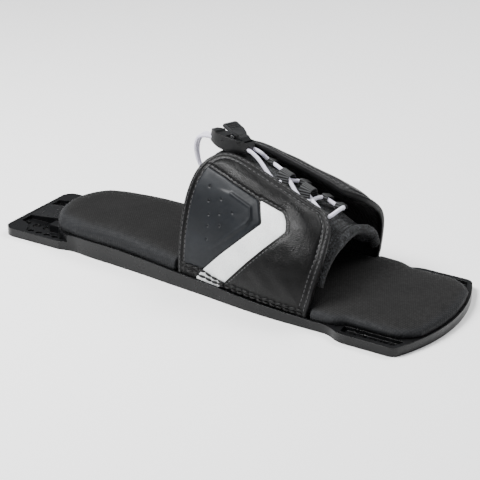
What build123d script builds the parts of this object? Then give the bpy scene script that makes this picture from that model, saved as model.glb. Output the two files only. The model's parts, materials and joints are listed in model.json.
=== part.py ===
"""Rear toe plate for a slalom water ski, in millimetres.

A moulded plate with mounting holes at both ends carries a foam footbed and one laced toe strap.
Toes point to +X, the heel to -X, +Z is up and the plate is symmetric about Y = 0.
The origin is the bottom centre of the plate. "Near" is the -Y side and "far" the +Y side.
"""
from build123d import *
import math
import os

os.makedirs("parts", exist_ok=True)

# ---------------------------------------------------------------- driving dimensions
PLATE_LENGTH = 330.0
HEEL_X = -PLATE_LENGTH / 2
TOE_X = PLATE_LENGTH / 2
HEEL_HALF_WIDTH = 37.5
TOE_HALF_WIDTH = 56.2
HEEL_FLANGE_END = -116.0
TOE_FLANGE_START = 118.0
TOE_CORNER_X = 150.8
FLANGE_THICK = 6.0
FLOOR_Z = 3.5
HEEL_RIM = 4.0
TOE_RIM = 3.5
HEEL_CORNER_R = 8.0
TOE_CORNER_R = 6.0

# half-width of the plate's waist and body: (x, half-width)
BODY_STATIONS = [(-106, 34.9), (-88, 37.2), (-67, 38.3), (-46, 40.0), (-25, 42.2), (-4, 44.2),
                 (16, 46.2), (35, 48.5), (54, 50.2), (72, 50.6), (98, 50.4)]
# top of the wedge riser, flush with the plate's side walls: (x, z)
RISER_STATIONS = [(-140, 9.2), (-105, 11.4), (-66, 12.0), (92, FLANGE_THICK)]
RISER_INSET = 0.8
RISER_HEEL_X = -136.0
RISER_SHOULDER = (-119.0, 31.4)

# top of the footbed on its centre line: (x, z)
PAD_TOP_STATIONS = [(-137, 15.0), (-131, 19.5), (-120, 23.0), (-98, 25.8), (-72, 26.5), (-45, 25.0),
                    (-10, 22.0), (30, 19.0), (70, 17.0), (110, 16.0), (154, 15.2), (160, 14.0), (165, 10.5)]
PAD_TOE_HALF_WIDTH = 44.6
PAD_TOE_START, PAD_TOE_CORNER_X = 114.0, 154.6
PAD_TOE_CORNER_R = 18.0
PAD_TOE_GAP = 1.6
PAD_SIDE_GAP = 0.4
PAD_EDGE = 0.6
PAD_POWER = 3.1
CLAMP_ROOM_Z = 8.8

# mounting holes
TOE_HOLE_X0, TOE_HOLE_PITCH, TOE_HOLE_COUNT, TOE_HOLE_Y = 119.0, 7.0, 5, 47.8
HEEL_HOLE_X0, HEEL_HOLE_PITCH, HEEL_HOLE_COUNT, HEEL_HOLE_Y = -145.0, 7.1, 4, 32.0
INNER_HOLE_X0, INNER_HOLE_PITCH, INNER_HOLE_COUNT, INNER_HOLE_Y = -158.0, 9.0, 3, 19.6
HOLE_R = 2.6
INNER_HOLE_R = 3.0
HOLE_BOSS_R = 3.9
HOLE_BOSS_TOP = 5.0

# ramp and blocks on the heel flange
RAMP_START, RAMP_END, RAMP_TOP, RAMP_HALF = -162.5, -134.0, 9.2, 11.5
HEEL_BLOCK_X, HEEL_BLOCK_Y, HEEL_BLOCK_TOP = (-135.0, -126.0), (15.0, 23.0), 9.0

# underside lightening cells
CELL_X0, CELL_COLUMNS = -88.0, 9
CELL_PITCH_X, CELL_LENGTH = 20.0, 17.5
CELL_PITCH_Y, CELL_WIDTH = 13.5, 11.5
CELL_SKIN = 4.0

# strap clamp: a channel along each side of the plate, a bar, screws and tee nuts
CHANNEL_FLOOR = 3.6
CHANNEL_START, CHANNEL_END = -16.5, 89.5
RIM_WALL = 1.6
CHANNEL_DEPTH_IN = 20.0
LEATHER = 1.6
BAR_THICK = 1.6
BAR_START, BAR_END = -4.0, 80.0
BAR_OUTER_INSET, BAR_INNER_INSET = 5.4, 14.6
CLAMP_SCREW_X = (4.0, 28.0, 52.0, 76.0)
CLAMP_SCREW_INSET = 10.0
SCREW_R = 2.0
SCREW_HEAD_R = 3.6
SCREW_HEAD_THICK = 1.6
SCREW_END_Z = 0.8
NUT_BARREL_R = 3.0
NUT_FLANGE_R = 5.5
NUT_FLANGE_BOTTOM, NUT_FLANGE_TOP = 0.3, 1.3
FIT = 0.05

# room that holds everything on the near side, (x0, x1, y0, y1), and a height above everything
NEAR_SIDE = (-60, 120, -70, 0)
TOP = 120

# strap: height of its crown along x, and its layers measured inwards from the leather's face
CROWN_HEEL_Z = 90.0
CROWN_SLOPE = 0.41
CROWN_BEND_X, CROWN_BEND = 4.0, 20.0
STRAP_INSET = 1.8
ARCH_POWER = 2.15
ARCH_STATIONS = (-26.0, -8.0, 8.0, 24.0, 42.0, 60.0, 78.0, 98.0)
ARCH_STEPS = 7
WINDOW_HALF = 11.6
LINING_OUT, LINING_IN = LEATHER + 0.05, 3.4
BINDING_OUT, BINDING_IN = -0.35, 3.6
BINDING_WIDTH = 2.8
BINDING_FOOT_Z = 10.2
PANEL_THICK = 1.2
CHEVRON_THICK = 0.5
# small round vents in the side panel: (x, z)
VENTS = [(4.3, 70), (6.1, 62), (15.2, 64.6), (8.1, 54), (16.1, 56), (25.2, 58.5),
         (8.5, 47), (17.6, 49), (8.9, 38.6)]
VENT_R = 0.6
OVERLAY_GAP = 0.05
LACE_DEPTH = 5.2
LOOP_TAIL_OUT, LOOP_TAIL_IN = 3.8, 4.8

# tongue: height of its crown along x, and its thickness
TONGUE_STATIONS = [(-9, 81.6), (8, 81.8), (24, 77.9), (42, 70.6), (58, 62.8), (70, 55.6), (80, 49.0),
                   (91, 43.5)]
TONGUE_THICK = 5.0
TONGUE_SIDE_GAP = 6.0
TONGUE_FEET_Z = 27.0
TONGUE_HEM_X = 86.5
TONGUE_TOE_X = 91.0
TONGUE_HEEL_X = -9.0
HEM_EXTRA = 0.9
KEEPER_X = (43.0, 59.0)
KEEPER_LENGTH, KEEPER_WIDTH, KEEPER_WALL = 8.0, 9.6, 1.0

# lace
LACE_R = 1.3
LACE_BEND = 6.0
LACE_UPPER, LACE_LOWER = 2.4, 5.3
BRIDGE_X, BRIDGE_HALF, BRIDGE_Z = 81.5, 5.0, 61.4
LACE_SPLIT_X, LOCK_MOUTH_X, TAIL_EXIT_X = -12.0, 18.5, -19.5
# the free loop behind the lock, from the near channel to the far one
TAIL_POINTS = [(-23.6, -2.6, 89.4), (-25.4, -2.4, 81.6), (-23.6, -2.2, 73.6), (-19.8, -1.0, 65.8),
               (-18.4, 3.6, 58.8), (-21.8, 10.0, 54.8), (-28.4, 13.8, 56.6), (-32.8, 14.4, 63.4),
               (-34.0, 13.4, 70.8), (-33.2, 12.4, 78.2), (-29.4, 10.2, 84.8), (-23.8, 6.6, 89.4)]
LOOPS_NEAR = (76.6, 60.0, 40.0)
LOOPS_FAR = (77.0, 67.0, 50.5, 26.5)
LOOP_Y = 8.6
LOOP_WALL = 1.1
LOOP_WIDTH = 4.6
LOOP_TAIL_Y = 17.0

# lace lock, drawn about its own centre and then set down on the strap
LOCK_CENTRE = (2.0, 0.5, 90.6)
LOCK_ROLL = -10.0
LOCK_PITCH = 6.0
LOCK_LENGTH, LOCK_WIDTH = 30.0, 16.0
LOCK_BOTTOM, LOCK_TOP = -5.2, 3.4
LOCK_WELL_X = (-3.0, 12.0)
LOCK_WELL_HALF = 5.2
LOCK_CHANNEL_Y, LOCK_CHANNEL_Z, LOCK_CHANNEL_R = 2.9, -1.0, 1.55
PIVOT_X, PIVOT_Z = 8.6, 2.2
PIN_R = 0.9
CAM_R = 1.75
PIN_CLEARANCE = 0.05
LEVER_HALF = 4.9
# thumb plate: foot and raised end as (x, z), in the lock's frame
TAB_FOOT, TAB_TOP = (8.0, 6.2), (-5.0, 11.6)
TAB_START, TAB_THICK = 1.4, 2.0
TAB_FOOT_HALF, TAB_HALF = 5.4, 8.2
RIB_R, RIB_SHARES = 0.5, (0.52, 0.64, 0.76, 0.88)
TEETH_FLOOR, TEETH_HEIGHT = -3.4, 0.7
TEETH_START, TEETH_COUNT = 2.6, 6
SPRING_X, SPRING_R, SPRING_WIRE, SPRING_PITCH, SPRING_HEIGHT = -0.9, 1.1, 0.26, 1.3, 9.4


# ---------------------------------------------------------------- small helpers
def along(stations, x):
    """Value at x on straight lines between (x, value) stations."""
    if x <= stations[0][0]:
        return stations[0][1]
    for (x0, v0), (x1, v1) in zip(stations, stations[1:]):
        if x <= x1:
            return v0 + (v1 - v0) * (x - x0) / (x1 - x0)
    return stations[-1][1]


def block(x0, x1, y0, y1, z0, z1):
    """Box between two corners."""
    size = (x1 - x0, y1 - y0, z1 - z0)
    return Pos((x0 + x1) / 2, (y0 + y1) / 2, (z0 + z1) / 2) * Box(*size)


def post(x, y, radius, z0, z1):
    """Upright cylinder."""
    return Pos(x, y, (z0 + z1) / 2) * Cylinder(radius, z1 - z0)


def side_prism(face, half_width):
    """Extrude a face drawn in (x, z) across Y, from one side of the centre line to the other."""
    far_plane = Plane((0, half_width, 0), x_dir=(1, 0, 0), z_dir=(0, -1, 0))
    return extrude(far_plane * face, 2 * half_width)


def closed_face(points):
    return make_face(Polyline(*points, close=True))


def bend_radii(points, largest):
    """Fillet radii for a route: each arc fills its runs without passing the largest wanted."""
    radii = []
    vectors = [Vector(*p) for p in points]
    for before, at, after in zip(vectors, vectors[1:], vectors[2:]):
        run_in, run_out = at - before, after - at
        turn = math.radians(run_in.get_angle(run_out))
        fitted = 0.45 * min(run_in.length, run_out.length) / math.tan(turn / 2)
        radii.append(min(fitted, largest))
    return radii


def rounded_run(points, largest=300.0):
    """Straight runs joined by tangent arcs."""
    return FilletPolyline(*points, radius=bend_radii(points, largest))


def grown(face, amount):
    """Outline moved outwards by amount (inwards when negative), with its curves as plain splines."""
    plain = (GeomType.LINE, GeomType.CIRCLE)
    moved = offset(face, amount)
    return make_face([e if e.geom_type in plain else e.to_splines() for e in moved.edges()])


def side_pair(make):
    """Make a near piece and its mirror image on the far side."""
    near = make()
    return near, mirror(near, about=Plane.XZ)


def save(node, shape):
    """Write one node, as a single solid or as a group of separate solids."""
    solids = shape.solids()
    group = solids[0] if len(solids) == 1 else Compound(children=list(solids))
    export_step(group, f"parts/{node}.step")


# ---------------------------------------------------------------- plate
def plate_outline(inset=0.0):
    """Plan outline moved inwards by inset: heel flange, waist, body, step out to the toe flange, curved toe."""
    heel_x, corner_x = HEEL_X + inset, TOE_CORNER_X - inset / 2
    heel_half, toe_half = HEEL_HALF_WIDTH - inset, TOE_HALF_WIDTH - inset
    waist = [(HEEL_FLANGE_END, heel_half)] + [(x, half - inset) for x, half in BODY_STATIONS]
    body_end, flange_start = waist[-1], (TOE_FLANGE_START, toe_half)
    halfway = ((body_end[0] + flange_start[0]) / 2, (body_end[1] + flange_start[1]) / 2)
    side = [Line((heel_x, heel_half), waist[0]),
            rounded_run(waist),
            TangentArc(body_end, halfway, tangent=(1, 0)),
            TangentArc(flange_start, halfway, tangent=(-1, 0)),
            Line(flange_start, (corner_x, toe_half))]
    other_side = [mirror(edge, about=Plane.XZ) for edge in side]
    heel = Line((heel_x, -heel_half), (heel_x, heel_half))
    toe = ThreePointArc((corner_x, toe_half), (TOE_X - inset, 0), (corner_x, -toe_half))
    face = make_face([heel, toe, *side, *other_side])
    heel_corners = [v for v in face.vertices() if v.X < heel_x + 1]
    face = fillet(heel_corners, HEEL_CORNER_R - inset)
    toe_corners = [v for v in face.vertices() if abs(v.X - corner_x) < 0.1]
    return fillet(toe_corners, TOE_CORNER_R - inset)


def rounded_heel(inset, end_points, spread=0.0):
    """Edges of a plan outline: an arc round the heel, then a side along the body, spread from its width."""
    heel_x, shoulder_x = RISER_HEEL_X + inset, RISER_SHOULDER[0]
    shoulder_y = RISER_SHOULDER[1] - inset
    rise = shoulder_x - heel_x
    radius = (shoulder_y ** 2 + rise ** 2) / (2 * rise)
    leaving = (shoulder_y, radius - rise)
    arc = ThreePointArc((shoulder_x, shoulder_y), (heel_x, 0), (shoulder_x, -shoulder_y))
    body = [(x, half - inset + spread) for x, half in BODY_STATIONS]
    side = Spline((shoulder_x, shoulder_y), *body, *end_points, tangents=[leaving, (1, 0)])
    return arc, side


def riser_outline():
    """Plan outline of the riser: rounded heel, then past the plate's sides, which cut it flush."""
    arc, side = rounded_heel(RISER_INSET, [], spread=3.0)
    end = side @ 1
    return make_face([arc, side, mirror(side, about=Plane.XZ), Line((end.X, end.Y), (end.X, -end.Y))])


def riser_profile(lift, bottom):
    """Side view of the wedge riser: an arc over the heel, then a straight fall to the toe flange."""
    heel, rise, peak, toe = [(x, z + lift) for x, z in RISER_STATIONS]
    past_toe, past_heel = (TOE_X + 5, toe[1]), (HEEL_X, heel[1])
    closing = Polyline(toe, past_toe, (past_toe[0], bottom), (past_heel[0], bottom), past_heel, heel)
    return make_face([ThreePointArc(heel, rise, peak), Line(peak, toe), closing])


def riser():
    wedge = side_prism(riser_profile(0, 0), 60) & extrude(riser_outline(), 40)
    return wedge & extrude(plate_outline(), 40)


def heel_ramp():
    """Smooth ramp from the heel edge up to the footbed."""
    under_pad = RAMP_END + 14
    profile = closed_face([(RAMP_START, 2), (RAMP_START, FLANGE_THICK), (RAMP_END, RAMP_TOP),
                           (under_pad, RAMP_TOP), (under_pad, 2)])
    return side_prism(profile, RAMP_HALF)


def heel_recess():
    """The sunk floor of the heel flange, leaving the rim and the raised corners."""
    area = block(HEEL_X, -110, -60, 60, FLOOR_Z, 40)
    tool = extrude(plate_outline(HEEL_RIM), 40) & area
    for y in (-HEEL_HALF_WIDTH, HEEL_HALF_WIDTH):
        tool -= post(HEEL_X + 2, y, 16.0, 0, 41)
    return tool


def toe_recess():
    """The sunk strips on each side of the toe flange."""
    area = block(112, 154, -60, 60, FLOOR_Z, 40)
    tool = extrude(plate_outline(TOE_RIM), 40) & area
    return tool - block(100, 170, -PAD_TOE_HALF_WIDTH - 0.4, PAD_TOE_HALF_WIDTH + 0.4, 0, 41)


def body_strip(inset):
    """Plan of the body between its side walls, moved inwards by inset."""
    side = rounded_run([(x, half - inset) for x, half in BODY_STATIONS])
    start, end = side @ 0, side @ 1
    ends = [Line((p.X, -p.Y), (p.X, p.Y)) for p in (start, end)]
    return make_face([side, mirror(side, about=Plane.XZ), *ends])


def strap_channels():
    """Channels that hold the strap's feet, just inside the plate's side walls."""
    strips = extrude(body_strip(RIM_WALL), 40) - extrude(body_strip(CHANNEL_DEPTH_IN), 41)
    return strips & block(CHANNEL_START, CHANNEL_END, -60, 60, CHANNEL_FLOOR, 40)


def hole_places(x0, pitch, count, y):
    return [(x0 + i * pitch, side * y) for i in range(count) for side in (-1, 1)]


def lightening_cells():
    """Blocks cut from the underside, in three rows, under a skin that follows the riser."""
    cells = []
    half_length, half_width_y = CELL_LENGTH / 2, CELL_WIDTH / 2
    for column in range(CELL_COLUMNS):
        x = CELL_X0 + column * CELL_PITCH_X
        top = along(RISER_STATIONS, x + half_length) - CELL_SKIN
        for row in (-1, 0, 1):
            y = row * CELL_PITCH_Y
            cells.append(block(x - half_length, x + half_length, y - half_width_y, y + half_width_y, -1, top))
    return cells


def base_plate():
    plate = extrude(plate_outline(), FLANGE_THICK) - heel_recess() - toe_recess()
    plate += riser()
    plate += heel_ramp()
    outer_row = hole_places(HEEL_HOLE_X0, HEEL_HOLE_PITCH, HEEL_HOLE_COUNT, HEEL_HOLE_Y)
    inner_row = hole_places(INNER_HOLE_X0, INNER_HOLE_PITCH, INNER_HOLE_COUNT, INNER_HOLE_Y)
    toe_row = hole_places(TOE_HOLE_X0, TOE_HOLE_PITCH, TOE_HOLE_COUNT, TOE_HOLE_Y)
    for x, y in outer_row:
        plate += post(x, y, HOLE_BOSS_R, 1, HOLE_BOSS_TOP)
    for side in (-1, 1):
        y0, y1 = sorted(side * y for y in HEEL_BLOCK_Y)
        plate += block(*HEEL_BLOCK_X, y0, y1, 1, HEEL_BLOCK_TOP)
    plate -= strap_channels()
    for x, y in outer_row + toe_row:
        plate -= post(x, y, HOLE_R, -1, 20)
    for x, y in inner_row:
        plate -= post(x, y, INNER_HOLE_R, -1, 20)
    for x, y in screw_places():
        plate -= post(x, y, NUT_BARREL_R + FIT, -1, 20)
        plate -= post(x, y, NUT_FLANGE_R + FIT, -1, NUT_FLANGE_TOP)
    return plate - Compound(children=lightening_cells())


# ---------------------------------------------------------------- strap clamps
def half_width(x):
    return along(BODY_STATIONS, x)


def screw_places(sides=(-1, 1)):
    return [(x, side * (half_width(x) - CLAMP_SCREW_INSET)) for x in CLAMP_SCREW_X for side in sides]


def foot_strip(x0, x1, outer_inset, inner_inset, z0, z1):
    """Flat strip on the near side that follows the plate's edge."""
    edge = [(x, -half_width(x)) for x in (x0, (2 * x0 + x1) / 3, (x0 + 2 * x1) / 3, x1)]
    outer = [(x, y + outer_inset) for x, y in edge]
    inner = [(x, y + inner_inset) for x, y in reversed(edge)]
    return Pos(0, 0, z0) * extrude(closed_face(outer + inner), z1 - z0)


def drilled(solid, radius):
    for x, y in screw_places(sides=(-1,)):
        solid -= post(x, y, radius, -1, 30)
    return solid


def clamp_bar():
    bottom = CHANNEL_FLOOR + LEATHER
    bar = foot_strip(BAR_START, BAR_END, BAR_OUTER_INSET, BAR_INNER_INSET, bottom, bottom + BAR_THICK)
    return drilled(bar, SCREW_R + 0.2)


def clamp_screws():
    """Pan-head screws with a cross recess."""
    head_bottom = CHANNEL_FLOOR + LEATHER + BAR_THICK
    head_top = head_bottom + SCREW_HEAD_THICK
    screws = []
    for x, y in screw_places(sides=(-1,)):
        head = post(x, y, SCREW_HEAD_R, head_bottom, head_top)
        head = chamfer(head.edges().group_by(Axis.Z)[-1], 0.5)
        head -= block(x - 1.9, x + 1.9, y - 0.4, y + 0.4, head_top - 0.8, head_top + 1)
        head -= block(x - 0.4, x + 0.4, y - 1.9, y + 1.9, head_top - 0.8, head_top + 1)
        screws.append(head + post(x, y, SCREW_R, SCREW_END_Z, head_bottom))
    return Compound(children=[s.solid() for s in screws])


def tee_nuts():
    nuts = []
    for x, y in screw_places(sides=(-1,)):
        nut = post(x, y, NUT_FLANGE_R, NUT_FLANGE_BOTTOM, NUT_FLANGE_TOP)
        nut += post(x, y, NUT_BARREL_R, NUT_FLANGE_TOP, CHANNEL_FLOOR - FIT)
        nuts.append(nut - post(x, y, SCREW_R + FIT, -1, 20))
    return Compound(children=[n.solid() for n in nuts])


# ---------------------------------------------------------------- strap
def crown(x):
    """Height of the strap's outer face on the centre line: level at the heel, then a straight fall."""
    if x <= CROWN_BEND_X:
        return CROWN_HEEL_Z
    if x < CROWN_BEND_X + CROWN_BEND:
        return CROWN_HEEL_Z - CROWN_SLOPE * (x - CROWN_BEND_X) ** 2 / (2 * CROWN_BEND)
    return CROWN_HEEL_Z - CROWN_SLOPE * (x - CROWN_BEND_X - CROWN_BEND / 2)


def dome(x, foot, top, half, power):
    """Superellipse across Y at x, with straight legs down to the floor: its two wires."""
    points = []
    for i in range(-ARCH_STEPS, ARCH_STEPS + 1):
        turn = math.pi / 2 * i / ARCH_STEPS
        y = math.copysign(abs(math.sin(turn)) ** (2 / power), turn) * half
        z = foot + (top - foot) * abs(math.cos(turn)) ** (2 / power)
        points.append((x, y, z))
    roof = Spline(*points, tangents=[(0, 0, 1), (0, 0, -1)])
    return roof, Polyline(points[-1], (x, half, 0), (x, -half, 0), points[0])


def arch_section(x, top, half):
    """Closed cross-section of the strap or the tongue at x."""
    roof, legs = dome(x, along(RISER_STATIONS, x), top, half, ARCH_POWER)
    return make_face([roof, legs])


def arch(depth):
    """Solid under the strap's face moved inwards by depth."""
    sections = [arch_section(x, crown(x) - depth, half_width(x) - STRAP_INSET - depth) for x in ARCH_STATIONS]
    return loft(sections)


def strap_side_face():
    """Side view of one quarter: foot, toe edge, rounded toe corner, open top, leaning heel edge."""
    toe_edge = Spline((86, 10), (88.8, 22), (90.6, 34), (91, 44), (89.6, 51), (86.8, 57), (83.5, 64))
    heel_edge = Spline((6, 89.5), (-0.9, 86.6), (-6.2, 82.0), (-9.6, 76.0), (-11.6, 67), (-12.6, 57),
                       (-13.2, 45), (-13.6, 31), (-13.8, 12))
    top = Polyline((83.5, 64), (83.5, 110), (6, 110), (6, 89.5))
    foot = Polyline((-13.8, 12), (-13.8, -5), (86, -5), (86, 10))
    return make_face([toe_edge, top, heel_edge, foot])


def window_face():
    """Plan view of the lacing window: parallel edges that flare round the toe corners."""
    edge = [(70, WINDOW_HALF), (78, WINDOW_HALF + 0.8), (83.5, 17), (87.5, 23.5), (90, 33)]
    flare = Spline(*edge, tangents=[(1, 0), (0.1, 1)])
    ends = [Line((-60, WINDOW_HALF), edge[0]), Polyline(edge[-1], (120, 33), (120, 0))]
    half = [*ends, flare]
    other = [mirror(edge, about=Plane.XZ) for edge in half]
    return make_face([*half, *other, Line((-60, -WINDOW_HALF), (-60, WINDOW_HALF))])


def quarter_region(inset):
    """Everything over the near quarter's outline, moved inwards by inset from its free edges."""
    side = strap_side_face()
    window = window_face()
    if inset:
        side = grown(side, -inset)
        window = grown(window, inset)
    solid = side_prism(side, 70) - extrude(window, TOP)
    return solid & block(*NEAR_SIDE, -10, TOP)


def quarter():
    """Leather quarter with a foot flange that the clamp bar holds down."""
    skin = (arch(0) - arch(LEATHER)) & quarter_region(BINDING_WIDTH)
    skin &= block(*NEAR_SIDE, CHANNEL_FLOOR, TOP)
    flange = foot_strip(-6.8, 82.4, STRAP_INSET + LEATHER / 2, 16.4, CHANNEL_FLOOR, CHANNEL_FLOOR + LEATHER)
    return drilled(skin + flange, SCREW_R + 0.2)


def lining():
    skin = (arch(LINING_OUT) - arch(LINING_IN)) & quarter_region(BINDING_WIDTH)
    return skin & block(*NEAR_SIDE, CHANNEL_FLOOR + LEATHER + 0.1, TOP)


def edge_binding():
    """Tape folded over the leather and the lining along the free edges."""
    band = (arch(BINDING_OUT) - arch(BINDING_IN)) & (quarter_region(0) - quarter_region(BINDING_WIDTH))
    return band & block(*NEAR_SIDE, BINDING_FOOT_Z, TOP)


def side_panel():
    """Moulded grip panel behind the chevron, with an embossed ridge and round vents."""
    outline = closed_face([(-4.0, 80.3), (12, 76.6), (31.5, 70.0), (39.6, 67.2), (45.6, 55.9), (19.3, 31.2),
                           (7.2, 18.0), (-10.0, 18.4), (-10.0, 33), (-9.8, 46), (-9.2, 60), (-8.4, 69)])
    body = (arch(-PANEL_THICK) - arch(-OVERLAY_GAP)) & side_prism(outline, 70)
    ridge_line = [(20.9, 68.6), (36.0, 63.2), (38.4, 57.6), (36.8, 54.2), (12.6, 33.6)]
    ridge = trace(Polyline(*ridge_line), 1.6)
    body += (arch(-PANEL_THICK - 0.5) - arch(-OVERLAY_GAP - 0.4)) & side_prism(ridge, 70)
    body &= block(*NEAR_SIDE, 0, TOP)
    for x, z in VENTS:
        body -= Pos(x, 0, z) * Rot(90, 0, 0) * Cylinder(VENT_R, 160)
    return body.solid()


def chevron():
    """Flat silver overlay that wraps the panel's point."""
    outline = closed_face([(40.6, 67.4), (57.2, 62.4), (60.8, 58.5), (62.9, 53.5), (51.4, 42.2), (40.6, 31.1),
                           (24.6, 13.6), (20.3, 8.95), (0.4, 9.8), (7.6, 18.2), (19.7, 30.7), (46.4, 55.8)])
    body = (arch(-CHEVRON_THICK) - arch(-OVERLAY_GAP)) & side_prism(outline, 70)
    return (body & block(*NEAR_SIDE, 0, 120)).solid()


def lace_loops(places, room):
    """Webbing loops on the near side: a ring round the lace and a tail under the quarter."""
    under = arch(LOOP_TAIL_OUT) - arch(LOOP_TAIL_IN)
    tongue = tongue_arch(-FIT)
    loops = []
    for x in places:
        z = lace_height(x, LOOP_Y)
        turn = Pos(x, -LOOP_Y, z) * Rot(0, 90, 0)
        ring = turn * Cylinder(LACE_R + LOOP_WALL, LOOP_WIDTH)
        tail = under & block(x - LOOP_WIDTH / 2, x + LOOP_WIDTH / 2, -LOOP_TAIL_Y, -LOOP_Y, 0, TOP)
        loop = ring + tail - tongue - room
        loops.append(loop.solids().sort_by(SortBy.VOLUME)[-1])
    return Compound(children=loops)


# ---------------------------------------------------------------- tongue
def tongue_arch(depth):
    """Solid under the tongue's outer face moved inwards by depth."""
    sections = []
    for x, top in TONGUE_STATIONS:
        half = half_width(x) - STRAP_INSET - TONGUE_SIDE_GAP - depth
        sections.append(arch_section(x, top - depth, half))
    return loft(sections)


def instep_pad():
    skin = tongue_arch(0) - tongue_arch(TONGUE_THICK)
    return skin & block(TONGUE_HEEL_X, TONGUE_HEM_X, -70, 70, TONGUE_FEET_Z, TOP)


def instep_hem():
    """Rolled hem along the tongue's toe edge."""
    skin = tongue_arch(-HEM_EXTRA) - tongue_arch(TONGUE_THICK + HEM_EXTRA)
    return skin & block(TONGUE_HEM_X, TONGUE_TOE_X, -70, 70, TONGUE_FEET_Z - 3, TOP)


def lace_height(x, y, depth=LACE_DEPTH):
    """Height of a point at a depth under the strap's face."""
    foot = along(RISER_STATIONS, x)
    half = half_width(x) - STRAP_INSET - depth
    rise = crown(x) - depth - foot
    return foot + rise * (1 - (abs(y) / half) ** ARCH_POWER) ** (1 / ARCH_POWER)


def lace_keepers(room):
    """Two webbing bridges on the tongue, each over a crossing of the lace."""
    keepers = []
    for x in KEEPER_X:
        slope = math.degrees(math.atan(CROWN_SLOPE))
        place = Pos(x, 0, crown(x) - 3.6) * Rot(0, slope, 0)
        outer = place * Box(KEEPER_LENGTH, KEEPER_WIDTH + 2 * KEEPER_WALL, 7.8)
        inner = place * Box(KEEPER_LENGTH + 6, KEEPER_WIDTH, 5.8)
        frame = outer - inner - tongue_arch(-FIT) - room
        keepers.append(frame.solids().sort_by(SortBy.VOLUME)[-1])
    return Compound(children=keepers)


# ---------------------------------------------------------------- footbed
def footbed_plan():
    """Plan outline: rounded heel, body width, straight toe sides, rounded corners and a curved toe."""
    toe_start = (PAD_TOE_START, PAD_TOE_HALF_WIDTH)
    toe_corner = (PAD_TOE_CORNER_X, PAD_TOE_HALF_WIDTH)
    arc, body_side = rounded_heel(RISER_INSET + PAD_SIDE_GAP, [toe_start])
    side = [body_side, Line(toe_start, toe_corner)]
    other_side = [mirror(edge, about=Plane.XZ) for edge in side]
    toe = ThreePointArc(toe_corner, (TOE_X - PAD_TOE_GAP, 0), (PAD_TOE_CORNER_X, -PAD_TOE_HALF_WIDTH))
    face = make_face([arc, *side, *other_side, toe])
    corners = [v for v in face.vertices() if abs(v.X - PAD_TOE_CORNER_X) < 0.1]
    return fillet(corners, PAD_TOE_CORNER_R)


def footbed_section(x):
    """Cross-section of the foam: a broad superellipse that rounds down to the plate."""
    side = [(at, half - RISER_INSET - PAD_SIDE_GAP) for at, half in BODY_STATIONS]
    half = along([*side, (PAD_TOE_START, PAD_TOE_HALF_WIDTH)], x) + PAD_EDGE
    roof, ends = dome(x, along(RISER_STATIONS, x), along(PAD_TOP_STATIONS, x), half, PAD_POWER)
    return make_face([roof, ends])


def footbed():
    """Foam pad that lies on the riser, with room for the strap's feet."""
    stations = sorted([HEEL_X, TOE_X + 6, 98.0] + [x for x, _ in PAD_TOP_STATIONS])
    pad = loft([footbed_section(x) for x in stations], ruled=True) & extrude(footbed_plan(), 60)
    pad -= riser_shadow()
    pad -= block(CHANNEL_START + 1, CHANNEL_END, -70, 70, 0, 60) - arch(LINING_IN + 0.3)
    strip = foot_strip(CHANNEL_START + 1, CHANNEL_END - 1, 1.0, 17.4, 0, CLAMP_ROOM_Z)
    return pad - strip - mirror(strip, about=Plane.XZ)


def riser_shadow():
    """Everything below the riser's top, which the foam lies on."""
    return side_prism(riser_profile(FIT, -5), 70)


# ---------------------------------------------------------------- lace lock
def lock_place():
    return Location(LOCK_CENTRE) * Rot(LOCK_ROLL, LOCK_PITCH, 0)


def lock_point(x, y, z):
    """A point of the lock's own frame, in the part's frame."""
    moved = lock_place() * Location((x, y, z))
    return tuple(moved.position)


def lock_base():
    """Boat-shaped body with a well for the lever, cheeks for the pin and two lace channels."""
    half_length, half = LOCK_LENGTH / 2, LOCK_WIDTH / 2
    side = Spline((-half_length, 3.6), (-9, 6.6), (2, half), (10, 6.8), (half_length, 3.2))
    ends = [Line((-half_length, -3.6), (-half_length, 3.6)), Line((half_length, -3.2), (half_length, 3.2))]
    plan = extrude(make_face([side, mirror(side, about=Plane.XZ), *ends]), 20, both=True)
    keel = Spline((half_length, -2.9), (6, LOCK_BOTTOM), (-4, LOCK_BOTTOM), (-half_length, -2.2))
    deck = Polyline((-half_length, -2.2), (-half_length, 4.6), (-11, 4.6), (-10, LOCK_TOP), (11, LOCK_TOP),
                    (half_length, 1.2), (half_length, -2.9))
    body = plan & side_prism(make_face([keel, deck]), 20)
    body -= block(*LOCK_WELL_X, -LOCK_WELL_HALF, LOCK_WELL_HALF, TEETH_FLOOR, 20)
    for y in (-LOCK_CHANNEL_Y, LOCK_CHANNEL_Y):
        body -= Pos(0, y, LOCK_CHANNEL_Z) * Rot(0, 90, 0) * Cylinder(LOCK_CHANNEL_R, 60)
    return lock_place() * (body - cross_pin(PIN_R + FIT, 40))


def lock_teeth():
    """Grip plate on the well's floor, with a row of low teeth across each channel."""
    x0, x1 = TEETH_START, LOCK_WELL_X[1] - 0.1
    points = [(x1, TEETH_FLOOR + FIT), (x0, TEETH_FLOOR + FIT)]
    step = (x1 - x0) / TEETH_COUNT
    for i in range(TEETH_COUNT):
        points.append((x0 + i * step, TEETH_FLOOR + 0.3))
        points.append((x0 + (i + 0.75) * step, TEETH_FLOOR + TEETH_HEIGHT))
    points.append((x1, TEETH_FLOOR + 0.3))
    return lock_place() * side_prism(closed_face(points), LOCK_WELL_HALF - 0.1)


def cross_pin(radius, length):
    """Cylinder along the lever's hinge line, in the lock's own frame."""
    return Pos(PIVOT_X, 0, PIVOT_Z) * Rot(90, 0, 0) * Cylinder(radius, length)


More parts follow.
